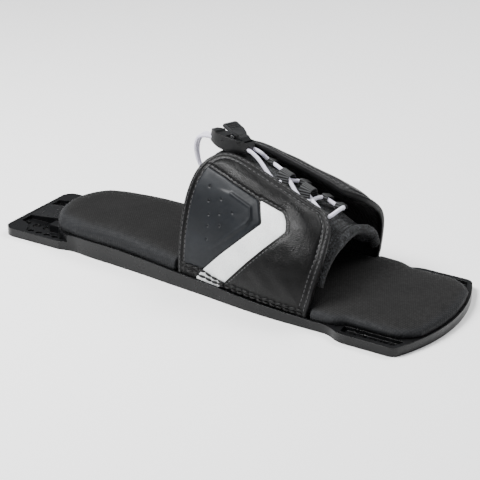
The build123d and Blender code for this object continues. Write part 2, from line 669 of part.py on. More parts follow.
def lever_tab():
    """Shield-shaped thumb plate with a chamfered rim and four ribs near its raised end."""
    across, lean = Vector(0, 1, 0), Vector(TAB_TOP[0] - TAB_FOOT[0], 0, TAB_TOP[1] - TAB_FOOT[1])
    face = Plane(origin=(TAB_FOOT[0], 0, TAB_FOOT[1]), x_dir=across, z_dir=across.cross(lean))
    foot_y, end_y = TAB_START, lean.length
    outline = closed_face([(-TAB_FOOT_HALF, foot_y), (TAB_FOOT_HALF, foot_y), (TAB_HALF, 0.45 * end_y),
                           (TAB_HALF, end_y), (-TAB_HALF, end_y), (-TAB_HALF, 0.45 * end_y)])
    plate = extrude(face * fillet(outline.vertices(), 1.8), -TAB_THICK)
    plate = chamfer(plate.faces().sort_by(Axis.Z)[-1].edges(), 0.4)
    for share in RIB_SHARES:
        rib = face * Pos(0, share * end_y, 0) * Rot(0, 90, 0) * Cylinder(RIB_R, 2 * TAB_HALF - 4)
        plate += rib
    return plate


def lock_lever():
    """Thumb lever: a cam round the pin, an arm and the thumb plate, which leans back over the body."""
    arm = closed_face([(10.4, 1.4), (10.6, 3.4), (8.6, 5.4), (1.4, 8.2), (1.2, 7.2), (4.4, 4.2), (5.4, 2.0),
                       (6.8, 1.0)])
    body = side_prism(arm, LEVER_HALF) + cross_pin(CAM_R, 2 * LEVER_HALF) + lever_tab()
    return lock_place() * (body - cross_pin(PIN_R + PIN_CLEARANCE, 40))


def lock_pin():
    return lock_place() * cross_pin(PIN_R, 14.4)


def lock_spring():
    """Small coil spring between the well's floor and the lever's arm."""
    coil = Helix(pitch=SPRING_PITCH, height=SPRING_HEIGHT, radius=SPRING_R)
    wound = sweep(Plane(coil @ 0, z_dir=coil % 0) * Circle(SPRING_WIRE), path=coil)
    return lock_place() * Pos(SPRING_X, 0, TEETH_FLOOR + 2 * SPRING_WIRE) * wound


# ---------------------------------------------------------------- lace
def tube(name, points, radius, largest=400.0):
    """Round cord along straight runs joined by tangent arcs."""
    radii = bend_radii(points, largest)
    path = FilletPolyline(*points, radius=radii)
    section = Plane(path @ 0, z_dir=path % 0) * Circle(radius)
    solid = sweep(section, path=path)
    expected = math.pi * radius ** 2 * path.length
    print(f"{name}: length {path.length:.1f}, volume {solid.volume:.1f} of {expected:.1f},"
          f" radii {[round(r, 1) for r in radii]}")
    return solid


def lace_route():
    """The woven lace: from the lock in a zigzag to the toe, across the bridge and back to the lock."""
    first_keeper, second_keeper = KEEPER_X

    def at_loop(x, side):
        return (x, side * LOOP_Y, lace_height(x, LOOP_Y))

    def over(x, depth):
        return (x, 0, crown(x) - depth)

    outbound = [at_loop(LOOPS_FAR[3], 1), over(first_keeper, LACE_UPPER), at_loop(LOOPS_NEAR[1], -1),
                over(second_keeper + 3, LACE_UPPER), at_loop(LOOPS_FAR[1], 1), at_loop(LOOPS_FAR[0], 1)]
    bridge = [(BRIDGE_X, BRIDGE_HALF, BRIDGE_Z), (BRIDGE_X, -BRIDGE_HALF, BRIDGE_Z)]
    inbound = [at_loop(LOOPS_NEAR[0], -1), over(second_keeper, LACE_LOWER), at_loop(LOOPS_FAR[2], 1),
               over(first_keeper, LACE_LOWER), at_loop(LOOPS_NEAR[2], -1)]
    leaving = [lock_point(x, LOCK_CHANNEL_Y, LOCK_CHANNEL_Z) for x in (LACE_SPLIT_X, LOCK_MOUTH_X)]
    returning = [lock_point(x, -LOCK_CHANNEL_Y, LOCK_CHANNEL_Z) for x in (LOCK_MOUTH_X, LACE_SPLIT_X)]
    return leaving + outbound + bridge + inbound + returning


def lace():
    return tube("lace", lace_route(), LACE_R, largest=LACE_BEND)


def lace_room():
    """The lace's tube with a little room round it, cut from the webbing that it runs through."""
    return tube("lace_room", lace_route(), LACE_R + 0.12, largest=LACE_BEND)


def tail_route():
    """Free loop behind the lock: out of one channel, down behind the strap and back to the other."""
    near_exit = [lock_point(x, -LOCK_CHANNEL_Y, LOCK_CHANNEL_Z) for x in (LACE_SPLIT_X - FIT, TAIL_EXIT_X)]
    far_exit = [lock_point(x, LOCK_CHANNEL_Y, LOCK_CHANNEL_Z) for x in (TAIL_EXIT_X, LACE_SPLIT_X - FIT)]
    return near_exit + TAIL_POINTS + far_exit


def lace_tail():
    return tube("lace_tail", tail_route(), LACE_R)


# ---------------------------------------------------------------- build
def main():
    save("base_plate", base_plate())
    save("footbed", footbed())
    for name, make in (("quarter", quarter), ("lining", lining), ("edge_binding", edge_binding),
                       ("side_panel", side_panel), ("chevron", chevron), ("clamp_bar", clamp_bar),
                       ("clamp_screws", clamp_screws), ("tee_nuts", tee_nuts)):
        near, far = side_pair(make)
        save(f"{name}_near", near)
        save(f"{name}_far", far)
    room = lace_room()
    save("lace_loops_near", lace_loops(LOOPS_NEAR, room))
    save("lace_loops_far", mirror(lace_loops(LOOPS_FAR, mirror(room, about=Plane.XZ)), about=Plane.XZ))
    save("instep_pad", instep_pad())
    save("instep_hem", instep_hem())
    save("lace_keepers", lace_keepers(room))
    save("lace", lace())
    save("lace_tail", lace_tail())
    for make in (lock_base, lock_teeth, lock_lever, lock_pin, lock_spring):
        save(make.__name__, make())


main()
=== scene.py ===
"""Look of a slalom ski's rear toe plate: moulded plate, foam footbed, laced leather toe strap and lace lock.

Lengths in this file are millimetres until MM turns them into metres. The strap is drawn on its own surface:
x runs along the plate and s is the distance down from the crown line, so that outlines, seams and stitches are flat.
"""
import bpy
import json
import math
import numpy as np
from mathutils import Matrix, Vector


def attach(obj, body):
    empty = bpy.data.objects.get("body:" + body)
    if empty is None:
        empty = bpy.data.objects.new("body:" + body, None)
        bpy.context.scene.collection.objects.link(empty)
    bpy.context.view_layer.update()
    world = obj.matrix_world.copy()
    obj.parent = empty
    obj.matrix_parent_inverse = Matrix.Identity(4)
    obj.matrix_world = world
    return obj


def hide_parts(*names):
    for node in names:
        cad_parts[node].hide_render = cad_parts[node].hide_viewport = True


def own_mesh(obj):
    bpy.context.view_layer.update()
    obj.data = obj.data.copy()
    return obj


MM = 0.001
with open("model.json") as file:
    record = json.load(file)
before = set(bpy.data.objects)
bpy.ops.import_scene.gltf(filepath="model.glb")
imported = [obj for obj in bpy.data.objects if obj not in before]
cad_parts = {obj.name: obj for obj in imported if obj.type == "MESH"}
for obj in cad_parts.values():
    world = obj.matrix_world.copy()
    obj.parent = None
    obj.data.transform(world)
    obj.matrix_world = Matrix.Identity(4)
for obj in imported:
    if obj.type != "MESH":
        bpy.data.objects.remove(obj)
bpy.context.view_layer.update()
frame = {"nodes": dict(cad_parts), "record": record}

# ---------------------------------------------------------------- dimensions shared with the solids
BODY = np.array([(-106, 34.9), (-88, 37.2), (-67, 38.3), (-46, 40.0), (-25, 42.2), (-4, 44.2), (16, 46.2), (35, 48.5),
                 (54, 50.2), (72, 50.6), (98, 50.4)], float)
RISER = np.array([(-140, 9.2), (-105, 11.4), (-66, 12.0), (92, 6.0)], float)
CROWN_Z, CROWN_SLOPE, CROWN_BEND_X, CROWN_BEND = 90.0, 0.41, 4.0, 20.0
STRAP_INSET, POWER = 1.8, 2.15
TONGUE = np.array([(-9, 81.6), (8, 81.8), (24, 77.9), (42, 70.6), (58, 62.8), (70, 55.6), (80, 49.0),
                   (91, 43.5)], float)
TONGUE_INSET = 7.8
TONGUE_HEEL_X, TONGUE_HEM_X, TONGUE_TOE_X, TONGUE_FEET_Z, TONGUE_THICK = -9.0, 86.5, 91.0, 27.0, 5.0
LEATHER, LINING_IN = 1.6, 3.4
LACE_R = 1.3
LOOPS_NEAR, LOOPS_FAR = (76.6, 60.0, 40.0), (77.0, 67.0, 50.5, 26.5)
LOOP_Y, LOOP_WIDTH, LACE_DEPTH = 8.6, 4.6, 5.2
KEEPER_X, KEEPER_LENGTH, KEEPER_WIDTH = (43.0, 59.0), 8.0, 9.6
BRIDGE_X, BRIDGE_Y, BRIDGE_Z = 82.4, 5.0, 60.9
BAND_RING = 24
LOOP_IN, LOOP_OUT = ((16.5, 5.2), (14.0, 5.4)), ((14.0, 3.95), (16.5, 3.9))  # (y, depth under the crown)
SPRING_X, SPRING_R, SPRING_WIRE, SPRING_PITCH, SPRING_HEIGHT = -0.9, 1.1, 0.26, 1.3, 9.4
SPRING_FOOT, SPRING_PRESSED = -3.4 + 2 * SPRING_WIRE, 0.56
LOCK_CENTRE, LOCK_ROLL, LOCK_PITCH = (2.0, 0.5, 90.6), -10.0, 6.0
CHANNEL_Y, CHANNEL_Z = 2.9, -1.0
TAIL_POINTS = [(-23.6, -2.6, 89.4), (-25.4, -2.4, 81.6), (-23.6, -2.2, 73.6), (-19.8, -1.0, 65.8), (-18.4, 3.6, 58.8),
               (-21.8, 10.0, 54.8), (-28.4, 13.8, 56.6), (-32.8, 14.4, 63.4), (-34.0, 13.4, 70.8), (-33.2, 12.4, 78.2),
               (-29.4, 10.2, 84.8), (-23.8, 6.6, 89.4)]


# ---------------------------------------------------------------- camera, lights and floor, in metres
CAMERA_ANGLES, CAMERA_DISTANCE, CAMERA_TARGET = (32.1, 24.0), 1.1, (-0.0185, 0.042, 0.0)
LENS, SENSOR = 118.3, 36.0
LIGHTS = (("key_softbox", (-0.42, -0.40, 0.95), (0.0, 0.0, 0.03), (0.5, 0.5), 32),
          ("back_softbox", (0.35, 0.75, 1.15), (0.0, 0.0, 0.02), (1.0, 0.6), 18),
          ("front_softbox", (0.95, -0.75, 0.55), (0.0, 0.0, 0.03), (0.5, 0.5), 1.8))
SKY_COLOUR, SKY_STRENGTH, FLOOR_GREY = (0.95, 0.97, 1.0, 1), 0.25, 0.95
FLOOR_REACH, FLOOR_Z = 6.0, -0.0002


def make_camera():
    azimuth, elevation = (math.radians(a) for a in CAMERA_ANGLES)
    back = Vector((math.sin(azimuth) * math.cos(elevation), -math.cos(azimuth) * math.cos(elevation),
                   math.sin(elevation)))
    data = bpy.data.cameras.new("camera")
    data.lens, data.sensor_width = LENS, SENSOR
    data.clip_start, data.clip_end = 0.01, 50.0
    camera = bpy.data.objects.new("camera", data)
    camera.location = Vector(CAMERA_TARGET) + back * CAMERA_DISTANCE
    camera.rotation_euler = (-back).to_track_quat("-Z", "Y").to_euler()
    bpy.context.scene.collection.objects.link(camera)
    bpy.context.scene.camera = camera


def grey(value, tint=(1, 1, 1)):
    return (value * tint[0], value * tint[1], value * tint[2], 1)


def area_light(name, place, aim, size, power):
    data = bpy.data.lights.new(name, "AREA")
    data.shape = "RECTANGLE"
    data.size, data.size_y = size
    data.energy = power
    lamp = bpy.data.objects.new(name, data)
    lamp.location = place
    lamp.rotation_euler = (Vector(aim) - Vector(place)).to_track_quat("-Z", "Y").to_euler()
    bpy.context.scene.collection.objects.link(lamp)


def make_studio():
    world = bpy.data.worlds.new("studio")
    world.use_nodes = True
    sky = world.node_tree.nodes["Background"]
    sky.inputs["Color"].default_value = SKY_COLOUR
    sky.inputs["Strength"].default_value = SKY_STRENGTH
    bpy.context.scene.world = world
    for light in LIGHTS:
        area_light(*light)
    mesh = bpy.data.meshes.new("floor")
    corners = [(x * FLOOR_REACH, y * FLOOR_REACH, FLOOR_Z) for x, y in ((-1, -1), (1, -1), (1, 1), (-1, 1))]
    mesh.from_pydata(corners, [], [(0, 1, 2, 3)])
    floor = bpy.data.objects.new("floor", mesh)
    bpy.context.scene.collection.objects.link(floor)
    material = bpy.data.materials.new("floor_paper")
    material.use_nodes = True
    shader = material.node_tree.nodes["Principled BSDF"]
    shader.inputs["Base Color"].default_value = grey(FLOOR_GREY)
    shader.inputs["Roughness"].default_value = 0.85
    shader.inputs["Specular IOR Level"].default_value = 0.1
    mesh.materials.append(material)


make_camera()
make_studio()


# ---------------------------------------------------------------- materials
class Graph:
    """One procedural material: small helpers that add and link nodes."""

    def __init__(self, name):
        self.material = bpy.data.materials.new(name)
        self.material.use_nodes = True
        self.tree = self.material.node_tree
        self.shader = self.tree.nodes["Principled BSDF"]
        self.coords = self.tree.nodes.new("ShaderNodeTexCoord").outputs["Object"]
        self.heights = []

    def set(self, socket, value):
        target = self.shader.inputs[socket]
        if isinstance(value, bpy.types.NodeSocket):
            self.tree.links.new(value, target)
        else:
            target.default_value = value

    def node(self, kind, inputs=(), output=0, **settings):
        made = self.tree.nodes.new(kind)
        for key, value in settings.items():
            setattr(made, key, value)
        for key, value in dict(inputs).items():
            if isinstance(value, bpy.types.NodeSocket):
                self.tree.links.new(value, made.inputs[key])
            else:
                made.inputs[key].default_value = value
        return made.outputs[output]

    def math(self, operation, a, b=0.0):
        return self.node("ShaderNodeMath", {0: a, 1: b}, operation=operation)

    def dot(self, a, b):
        return self.node("ShaderNodeVectorMath", {0: a, 1: b}, output="Value", operation="DOT_PRODUCT")

    def noise(self, scale, detail=4.0, roughness=0.55):
        return self.node("ShaderNodeTexNoise", {"Vector": self.coords, "Scale": scale, "Detail": detail,
                                                "Roughness": roughness})

    def voronoi(self, scale, feature="F1", coords=None):
        return self.node("ShaderNodeTexVoronoi", {"Vector": coords or self.coords, "Scale": scale},
                         output="Distance", feature=feature)

    def ramp(self, value, low, high, start=0.0, end=1.0):
        return self.node("ShaderNodeMapRange", {"Value": value, "From Min": low, "From Max": high, "To Min": start,
                                                "To Max": end}, interpolation_type="SMOOTHSTEP")

    def mix(self, share, a, b):
        return self.node("ShaderNodeMix", {0: share, 6: a, 7: b}, output=2, data_type="RGBA")

    def height(self, value, depth):
        """A bump layer: value from 0 to 1, depth in millimetres."""
        self.heights.append((value, depth * MM))

    def wave_lines(self, direction, pitch):
        """Cosine lines across a direction, from -1 to 1."""
        return self.math("COSINE", self.dot(self.coords, tuple(2 * math.pi * d / (pitch * MM) for d in direction)))

    def uv(self):
        split = self.tree.nodes.new("ShaderNodeSeparateXYZ")
        self.tree.links.new(self.node("ShaderNodeUVMap"), split.inputs[0])
        return split.outputs[0], split.outputs[1]

    def two_tone(self, value, low, high, dark, light, tint):
        """Grey that goes from dark to light as value goes from low to high."""
        return self.mix(self.ramp(value, low, high), grey(dark, tint), grey(light, tint))

    def sheen(self, weight, roughness):
        self.set("Sheen Weight", weight)
        self.set("Sheen Roughness", roughness)

    def edge_softness(self, radius):
        self.bevel = self.node("ShaderNodeBevel", {"Radius": radius * MM})

    def done(self):
        normal = getattr(self, "bevel", None)
        for value, depth in self.heights:
            inputs = {"Height": value, "Distance": depth, "Strength": 1.0}
            if normal is not None:
                inputs["Normal"] = normal
            normal = self.node("ShaderNodeBump", inputs)
        if normal is not None:
            self.tree.links.new(normal, self.shader.inputs["Normal"])
        return self.material


def moulded_plastic(name, shade, roughness, tint=(0.95, 0.98, 1.06), texture=0.012, gloss=0.22):
    """Black moulded nylon: faint flow marks, fine spark texture, softened edges."""
    g = Graph(name)
    g.set("Base Color", g.two_tone(g.noise(38, 3), 0.35, 0.7, shade * 0.85, shade * 1.2, tint))
    g.set("Roughness", g.ramp(g.noise(160, 5), 0.3, 0.75, roughness * 0.85, roughness * 1.2))
    g.set("Specular IOR Level", gloss)
    g.height(g.noise(1500, 3, 0.6), texture)
    g.edge_softness(0.35)
    return g.done()


def leather(name, shade, roughness, wrinkle=0.16):
    """Grained leather: cells of two sizes, creases, and a sheen that varies with wear."""
    g = Graph(name)
    warp = g.node("ShaderNodeMix", {0: 0.0016, 4: g.coords, 5: g.node("ShaderNodeTexNoise", {
        "Vector": g.coords, "Scale": 220.0, "Detail": 2.0}, output="Color")}, output=1, data_type="VECTOR")
    cells = g.voronoi(780, "DISTANCE_TO_EDGE", warp)
    fine = g.voronoi(1750, "DISTANCE_TO_EDGE", warp)
    creases = g.voronoi(105, "DISTANCE_TO_EDGE", warp)
    worn, grain = g.noise(52, 4), 0.05
    g.set("Base Color", g.two_tone(worn, 0.3, 0.75, shade * 0.8, shade * 1.5, (1, 1, 1.04)))
    g.set("Roughness", g.math("ADD", g.ramp(worn, 0.25, 0.8, roughness * 1.08, roughness * 0.9),
                              g.ramp(cells, 0.0, 0.16, 0.16, 0.0)))
    g.set("Specular IOR Level", 0.17)
    g.height(g.ramp(creases, 0.0, 0.12), wrinkle * 0.15)
    g.height(g.noise(70, 3), wrinkle)
    g.height(g.ramp(cells, 0.0, 0.22), grain)
    g.height(g.ramp(fine, 0.0, 0.3), grain * 0.45)
    return g.done()


def hex_dots(g, pitch, turn=0.0):
    """Three sets of lines at 60 degrees: dots in a honeycomb, from -1.5 to 3."""
    total = None
    for k in range(3):
        angle = turn + math.radians(60 * k)
        lines = g.wave_lines((math.cos(angle), math.sin(angle), 0), pitch)
        total = lines if total is None else g.math("ADD", total, lines)
    return total


def foam(name):
    """Moulded foam: a fine honeycomb of dots, darker on top than on the rolled shoulders, which are painted lighter and
    bluer as a painted sheen.
    """
    g = Graph(name)
    upright = g.dot(g.node("ShaderNodeNewGeometry", output="Normal"), (0, 0, 1))
    top = g.ramp(upright, 0.78, 0.97)
    dots = g.ramp(hex_dots(g, 1.35, math.radians(28)), -1.0, 2.2)
    cloudy = g.noise(60, 5)
    # painted sheen: the colour follows which way the surface faces, so the rolled shoulders are painted lighter and
    # bluer than the top
    dark = g.two_tone(cloudy, 0.3, 0.7, 0.003, 0.005, (1.04, 1, 0.98))
    light = g.two_tone(cloudy, 0.3, 0.7, 0.008, 0.012, (0.95, 1, 1.12))
    colour = g.mix(top, light, dark)
    # painted light: the raised dots of the honeycomb are painted lighter than the ground between them
    g.set("Base Color", g.mix(dots, colour, g.mix(0.3, colour, grey(0.02))))
    g.set("Roughness", g.ramp(g.noise(400, 3), 0.3, 0.7, 0.62, 0.78))
    g.set("Specular IOR Level", 0.16)
    g.sheen(0.01, 0.5)
    g.height(dots, 0.13)
    g.height(g.noise(1400, 4, 0.65), 0.05)
    return g.done()


def rubber_panel(name):
    g = Graph(name)
    g.set("Base Color", g.two_tone(g.noise(46, 4), 0.3, 0.75, 0.0055, 0.009, (0.8, 0.97, 1.25)))
    g.set("Roughness", g.ramp(g.noise(300, 4), 0.3, 0.7, 0.42, 0.54))
    g.set("Specular IOR Level", 0.2)
    g.height(g.noise(1800, 4, 0.7), 0.035)
    g.height(g.noise(120, 3), 0.12)
    return g.done()


def silver_film(name):
    """Silver-white synthetic leather with a fine pebble and small dark flecks."""
    g = Graph(name)
    pebble = g.voronoi(1500, "F1")
    cloudy = g.noise(85, 5)
    base = g.mix(g.ramp(cloudy, 0.25, 0.75), grey(0.72, (0.97, 0.99, 1.0)), grey(0.86, (0.98, 1, 1.0)))
    g.set("Base Color", g.mix(g.ramp(pebble, 0.35, 0.75, 0.0, 0.3), base, grey(0.45)))
    g.set("Metallic", 0.1)
    g.set("Roughness", g.ramp(g.noise(500, 4), 0.3, 0.7, 0.46, 0.6))
    g.height(g.ramp(pebble, 0.0, 0.7), 0.06)
    g.height(g.noise(90, 3), 0.12)
    return g.done()


def knit(name, pitch=2.2, shade=0.05):
    """Padded mesh: openings painted near-black as painted shade in the holes, and speckles in a fine knitted ground."""
    g = Graph(name)
    a = g.wave_lines((0.55, 0.80, 0.23), pitch)
    b = g.wave_lines((0.55, -0.80, 0.23), pitch)
    hole_shade_and_depth = g.ramp(g.math("MULTIPLY", a, b), 0.15, 0.8)
    yarn = g.math("MULTIPLY", g.wave_lines((0.9, 0.1, 0.4), 0.62), g.wave_lines((0.0, 1.0, 0.15), 0.62))
    ground = g.two_tone(g.noise(90, 4), 0.3, 0.7, shade * 0.8, shade * 1.7, (0.95, 1, 1.08))
    speckle = g.ramp(g.noise(850, 2), 0.44, 0.56)
    # painted shade: the openings are painted near-black, darker than the knitted ground around them
    g.set("Base Color", g.mix(hole_shade_and_depth, g.mix(speckle, grey(0.004), ground), grey(0.002)))
    g.set("Roughness", 0.82)
    g.sheen(0.08, 0.4)
    g.set("Specular IOR Level", 0.2)
    g.height(g.math("SUBTRACT", 1.0, hole_shade_and_depth), 0.5)
    g.height(g.ramp(yarn, -0.8, 0.8), 0.13)
    return g.done()


def webbing(name):
    """Ribbed black webbing, drawn on the strip's own UV: u across, v along in millimetres."""
    g = Graph(name)
    u, v = g.uv()
    ribs = g.math("COSINE", g.math("MULTIPLY", v, 2 * math.pi / 1.5))
    cords = g.math("COSINE", g.math("MULTIPLY", u, 2 * math.pi * 7))
    # painted shade: the grooves between the ribs are painted near-black and the rib tops lighter
    g.set("Base Color", g.mix(g.ramp(ribs, -0.6, 0.9), grey(0.002), grey(0.05, (0.97, 1, 1.05))))
    g.set("Roughness", 0.7)
    g.set("Specular IOR Level", 0.25)
    g.set("Sheen Weight", 0.06)
    g.height(g.ramp(ribs, -1, 1), 0.32)
    g.height(g.ramp(cords, -1, 1), 0.08)
    return g.done()


def braid(name):
    """Braided lace, drawn on the cord's own UV: u round it, v along it in diameters."""
    g = Graph(name)
    u, v = g.uv()
    around, along = g.math("MULTIPLY", u, 2 * math.pi * 5), g.math("MULTIPLY", v, 2 * math.pi * 1.7)
    left, right = (g.math("SINE", g.math(way, around, along)) for way in ("ADD", "SUBTRACT"))
    strands = g.math("MULTIPLY", left, right)
    # painted shade: the hollows between the strands are painted a darker lavender than the strand tops
    g.set("Base Color", g.mix(g.ramp(strands, -0.7, 0.5), (0.5, 0.48, 0.62, 1), (0.9, 0.88, 0.98, 1)))
    g.set("Roughness", 0.6)
    g.set("Sheen Weight", 0.2)
    g.set("Subsurface Weight", 0.08)
    g.set("Subsurface Radius", (0.6, 0.6, 0.7))
    g.set("Subsurface Scale", 0.002)
    g.height(g.ramp(strands, -1, 1), 0.22)
    g.height(g.noise(3000, 2), 0.03)
    return g.done()


def thread(name, shade, gloss=0.45):
    g = Graph(name)
    twist = g.wave_lines((0.7, 0.5, 0.5), 0.5)
    # painted shade: the grooves of the twist are painted darker than its ridges
    g.set("Base Color", g.two_tone(twist, -0.7, 0.7, shade * 0.6, shade * 1.6, (1, 1, 1.05)))
    g.set("Roughness", 0.42)
    g.set("Specular IOR Level", gloss)
    g.height(g.ramp(twist, -1, 1), 0.06)
    return g.done()


def metal(name, shade, roughness):
    g = Graph(name)
    brushed = g.noise(700, 3, 0.6)
    g.set("Base Color", g.two_tone(brushed, 0.3, 0.7, shade * 0.85, shade, (1, 1, 1.02)))
    g.set("Metallic", 1.0)
    g.set("Roughness", g.ramp(brushed, 0.3, 0.7, roughness * 0.8, roughness * 1.25))
    g.height(brushed, 0.02)
    g.edge_softness(0.15)
    return g.done()


MATERIALS = {
    "plate_plastic": moulded_plastic("plate_plastic", 0.004, 0.3),
    "footbed_foam": foam("footbed_foam"),
    "strap_leather": leather("strap_leather", 0.002, 0.29),
    "lining_fabric": knit("lining_fabric", 3.4, 0.006),
    "binding_leather": leather("binding_leather", 0.005, 0.36, wrinkle=0.1),
    "panel_rubber": rubber_panel("panel_rubber"),
    "chevron_leather": silver_film("chevron_leather"),
    "bar_aluminium": metal("bar_aluminium", 0.75, 0.35),
    "screw_steel": metal("screw_steel", 0.6, 0.28),
    "nut_steel": metal("nut_steel", 0.58, 0.35),
    "webbing": webbing("webbing"),
    "tongue_fabric": knit("tongue_fabric"),
    "hem_fabric": knit("hem_fabric", 1.5, 0.036),
    "lace_cord": braid("lace_cord"),
    "lock_plastic": moulded_plastic("lock_plastic", 0.004, 0.32, texture=0.02, gloss=0.3),
    "teeth_steel": metal("teeth_steel", 0.55, 0.3),
    "lever_plastic": moulded_plastic("lever_plastic", 0.006, 0.36, tint=(0.9, 0.98, 1.12), gloss=0.34),
    # painted shade: the pin is made near-black to stand for the dark hole round its end
    "pin_steel": metal("pin_steel", 0.03, 0.45),
    "spring_steel": metal("spring_steel", 0.6, 0.3),
}
THREAD = thread("strap_thread", 0.032)
THREAD_DARK = thread("seam_thread", 0.003, gloss=0.2)


def dress_frame():
    """Give every CAD node the material of its slot."""
    slots = {s["node"]: s["material_slot"] for s in frame["record"]["subparts"]}
    for name, piece in frame["nodes"].items():
        piece.data.materials.clear()
        piece.data.materials.append(MATERIALS[slots[name]])


dress_frame()


# ---------------------------------------------------------------- meshes
def add_piece(name, points, faces, slot, body="binding", replaces=(), material=None, uvs=None):
    """A mesh from points in millimetres that rides on a body and stands for some CAD nodes."""
    mesh = bpy.data.meshes.new(name)
    mesh.from_pydata([tuple(p) for p in np.asarray(points, float) * MM], [], [tuple(map(int, f)) for f in faces])
    mesh.validate()
    if uvs is not None:
        layer = mesh.uv_layers.new(name="UVMap")
        corner = np.zeros(len(mesh.loops), int)
        mesh.loops.foreach_get("vertex_index", corner)
        layer.data.foreach_set("uv", np.asarray(uvs, float)[corner].ravel())
    mesh.polygons.foreach_set("use_smooth", [True] * len(mesh.polygons))
    mesh.materials.append(material or MATERIALS[slot])
    piece = bpy.data.objects.new(name, mesh)
    bpy.context.scene.collection.objects.link(piece)
    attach(piece, body)
    if replaces:
        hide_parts(*replaces)
    return piece


def grid_faces(rows, columns, start=0, close_columns=False, flip=False):
    """Quads of a grid of points, stored row by row."""
    faces = []
    for i in range(rows - 1):
        for j in range(columns if close_columns else columns - 1):
            a, b = start + i * columns + j, start + i * columns + (j + 1) % columns
            d, c = a + columns, b + columns
            faces.append((d, c, b, a) if flip else (a, b, c, d))
    return faces


def shell(outer, inner, bulge=0.0):
    """Closed shell between two grids of points, with a rounded rim that stands out by bulge."""
    rows, columns = outer.shape[:2]
    count = rows * columns
    points = np.concatenate([outer.reshape(-1, 3), inner.reshape(-1, 3)])
    faces = grid_faces(rows, columns) + grid_faces(rows, columns, start=count, flip=True)
    rim = [(0, j) for j in range(columns)] + [(i, columns - 1) for i in range(1, rows)]
    rim += [(rows - 1, j) for j in range(columns - 2, -1, -1)] + [(i, 0) for i in range(rows - 2, 0, -1)]
    middle, extra = [], []
    for i, j in rim:
        mid = (outer[i, j] + inner[i, j]) / 2
        i2, j2 = min(max(i, 1), rows - 2), min(max(j, 1), columns - 2)
        away = mid - (outer[i2, j2] + inner[i2, j2]) / 2
        length = np.linalg.norm(away)
        middle.append(mid + away / length * bulge if length > 1e-6 else mid)
    first_middle = len(points)
    points = np.concatenate([points, np.array(middle)])
    n = len(rim)
    for k in range(n):
        (i, j), (i2, j2) = rim[k], rim[(k + 1) % n]
        a, b = i * columns + j, i2 * columns + j2
        m, m2 = first_middle + k, first_middle + (k + 1) % n
        extra.append((b, a, m, m2))
        extra.append((m2, m, count + a, count + b))
    return points, faces + extra


def end_caps(count, ring, columns=None, start=0, flip=False):
    """The two ends of a tube of count rings."""
    last_start = start + (count - 1) * (columns or ring)
    first, last = tuple(range(start, start + ring)), tuple(range(last_start, last_start + ring))
    return [first, last[::-1]] if flip else [first[::-1], last]


def unit(vectors):
    return vectors / np.linalg.norm(vectors, axis=-1, keepdims=True)


def directions(line):
    return unit(np.gradient(line, axis=0))


def step_lengths(line):
    return np.linalg.norm(np.diff(line, axis=0), axis=1)


def round_height(depth, reach):
    """A quarter-round edge: 0 at the border, 1 from reach inwards."""
    return np.sqrt(np.clip(1 - (1 - np.clip(depth / reach, 0, 1)) ** 2, 0, 1))


def signed_power(value, power):
    return math.copysign(abs(value) ** power, value)


def smoothstep(value, low, high):
    t = np.clip((np.asarray(value, float) - low) / (high - low), 0, 1)
    return t * t * (3 - 2 * t)


def bell(value, width):
    return np.exp(-(np.asarray(value, float) / width) ** 2)


# ---------------------------------------------------------------- arched surfaces
def half_width(x):
    return np.interp(x, BODY[:, 0], BODY[:, 1])


def riser(x):
    return np.interp(x, RISER[:, 0], RISER[:, 1])


def strap_crown(x):
    x = np.asarray(x, float)
    bend = CROWN_Z - CROWN_SLOPE * np.clip(x - CROWN_BEND_X, 0, CROWN_BEND) ** 2 / (2 * CROWN_BEND)
    return bend - CROWN_SLOPE * np.clip(x - CROWN_BEND_X - CROWN_BEND, 0, None)


def smooth_stations(stations, reach=7.0):
    """Stations joined by straight lines, then averaged over a short reach."""
    def value(x):
        offsets = np.linspace(-reach, reach, 15)
        weights = np.cos(offsets / reach * math.pi / 2)
        x = np.asarray(x, float)
        inside = np.clip(x[..., None] + offsets, stations[0, 0] - reach, stations[-1, 0] + reach)
        return (np.interp(inside, stations[:, 0], stations[:, 1]) * weights).sum(-1) / weights.sum()
    return value


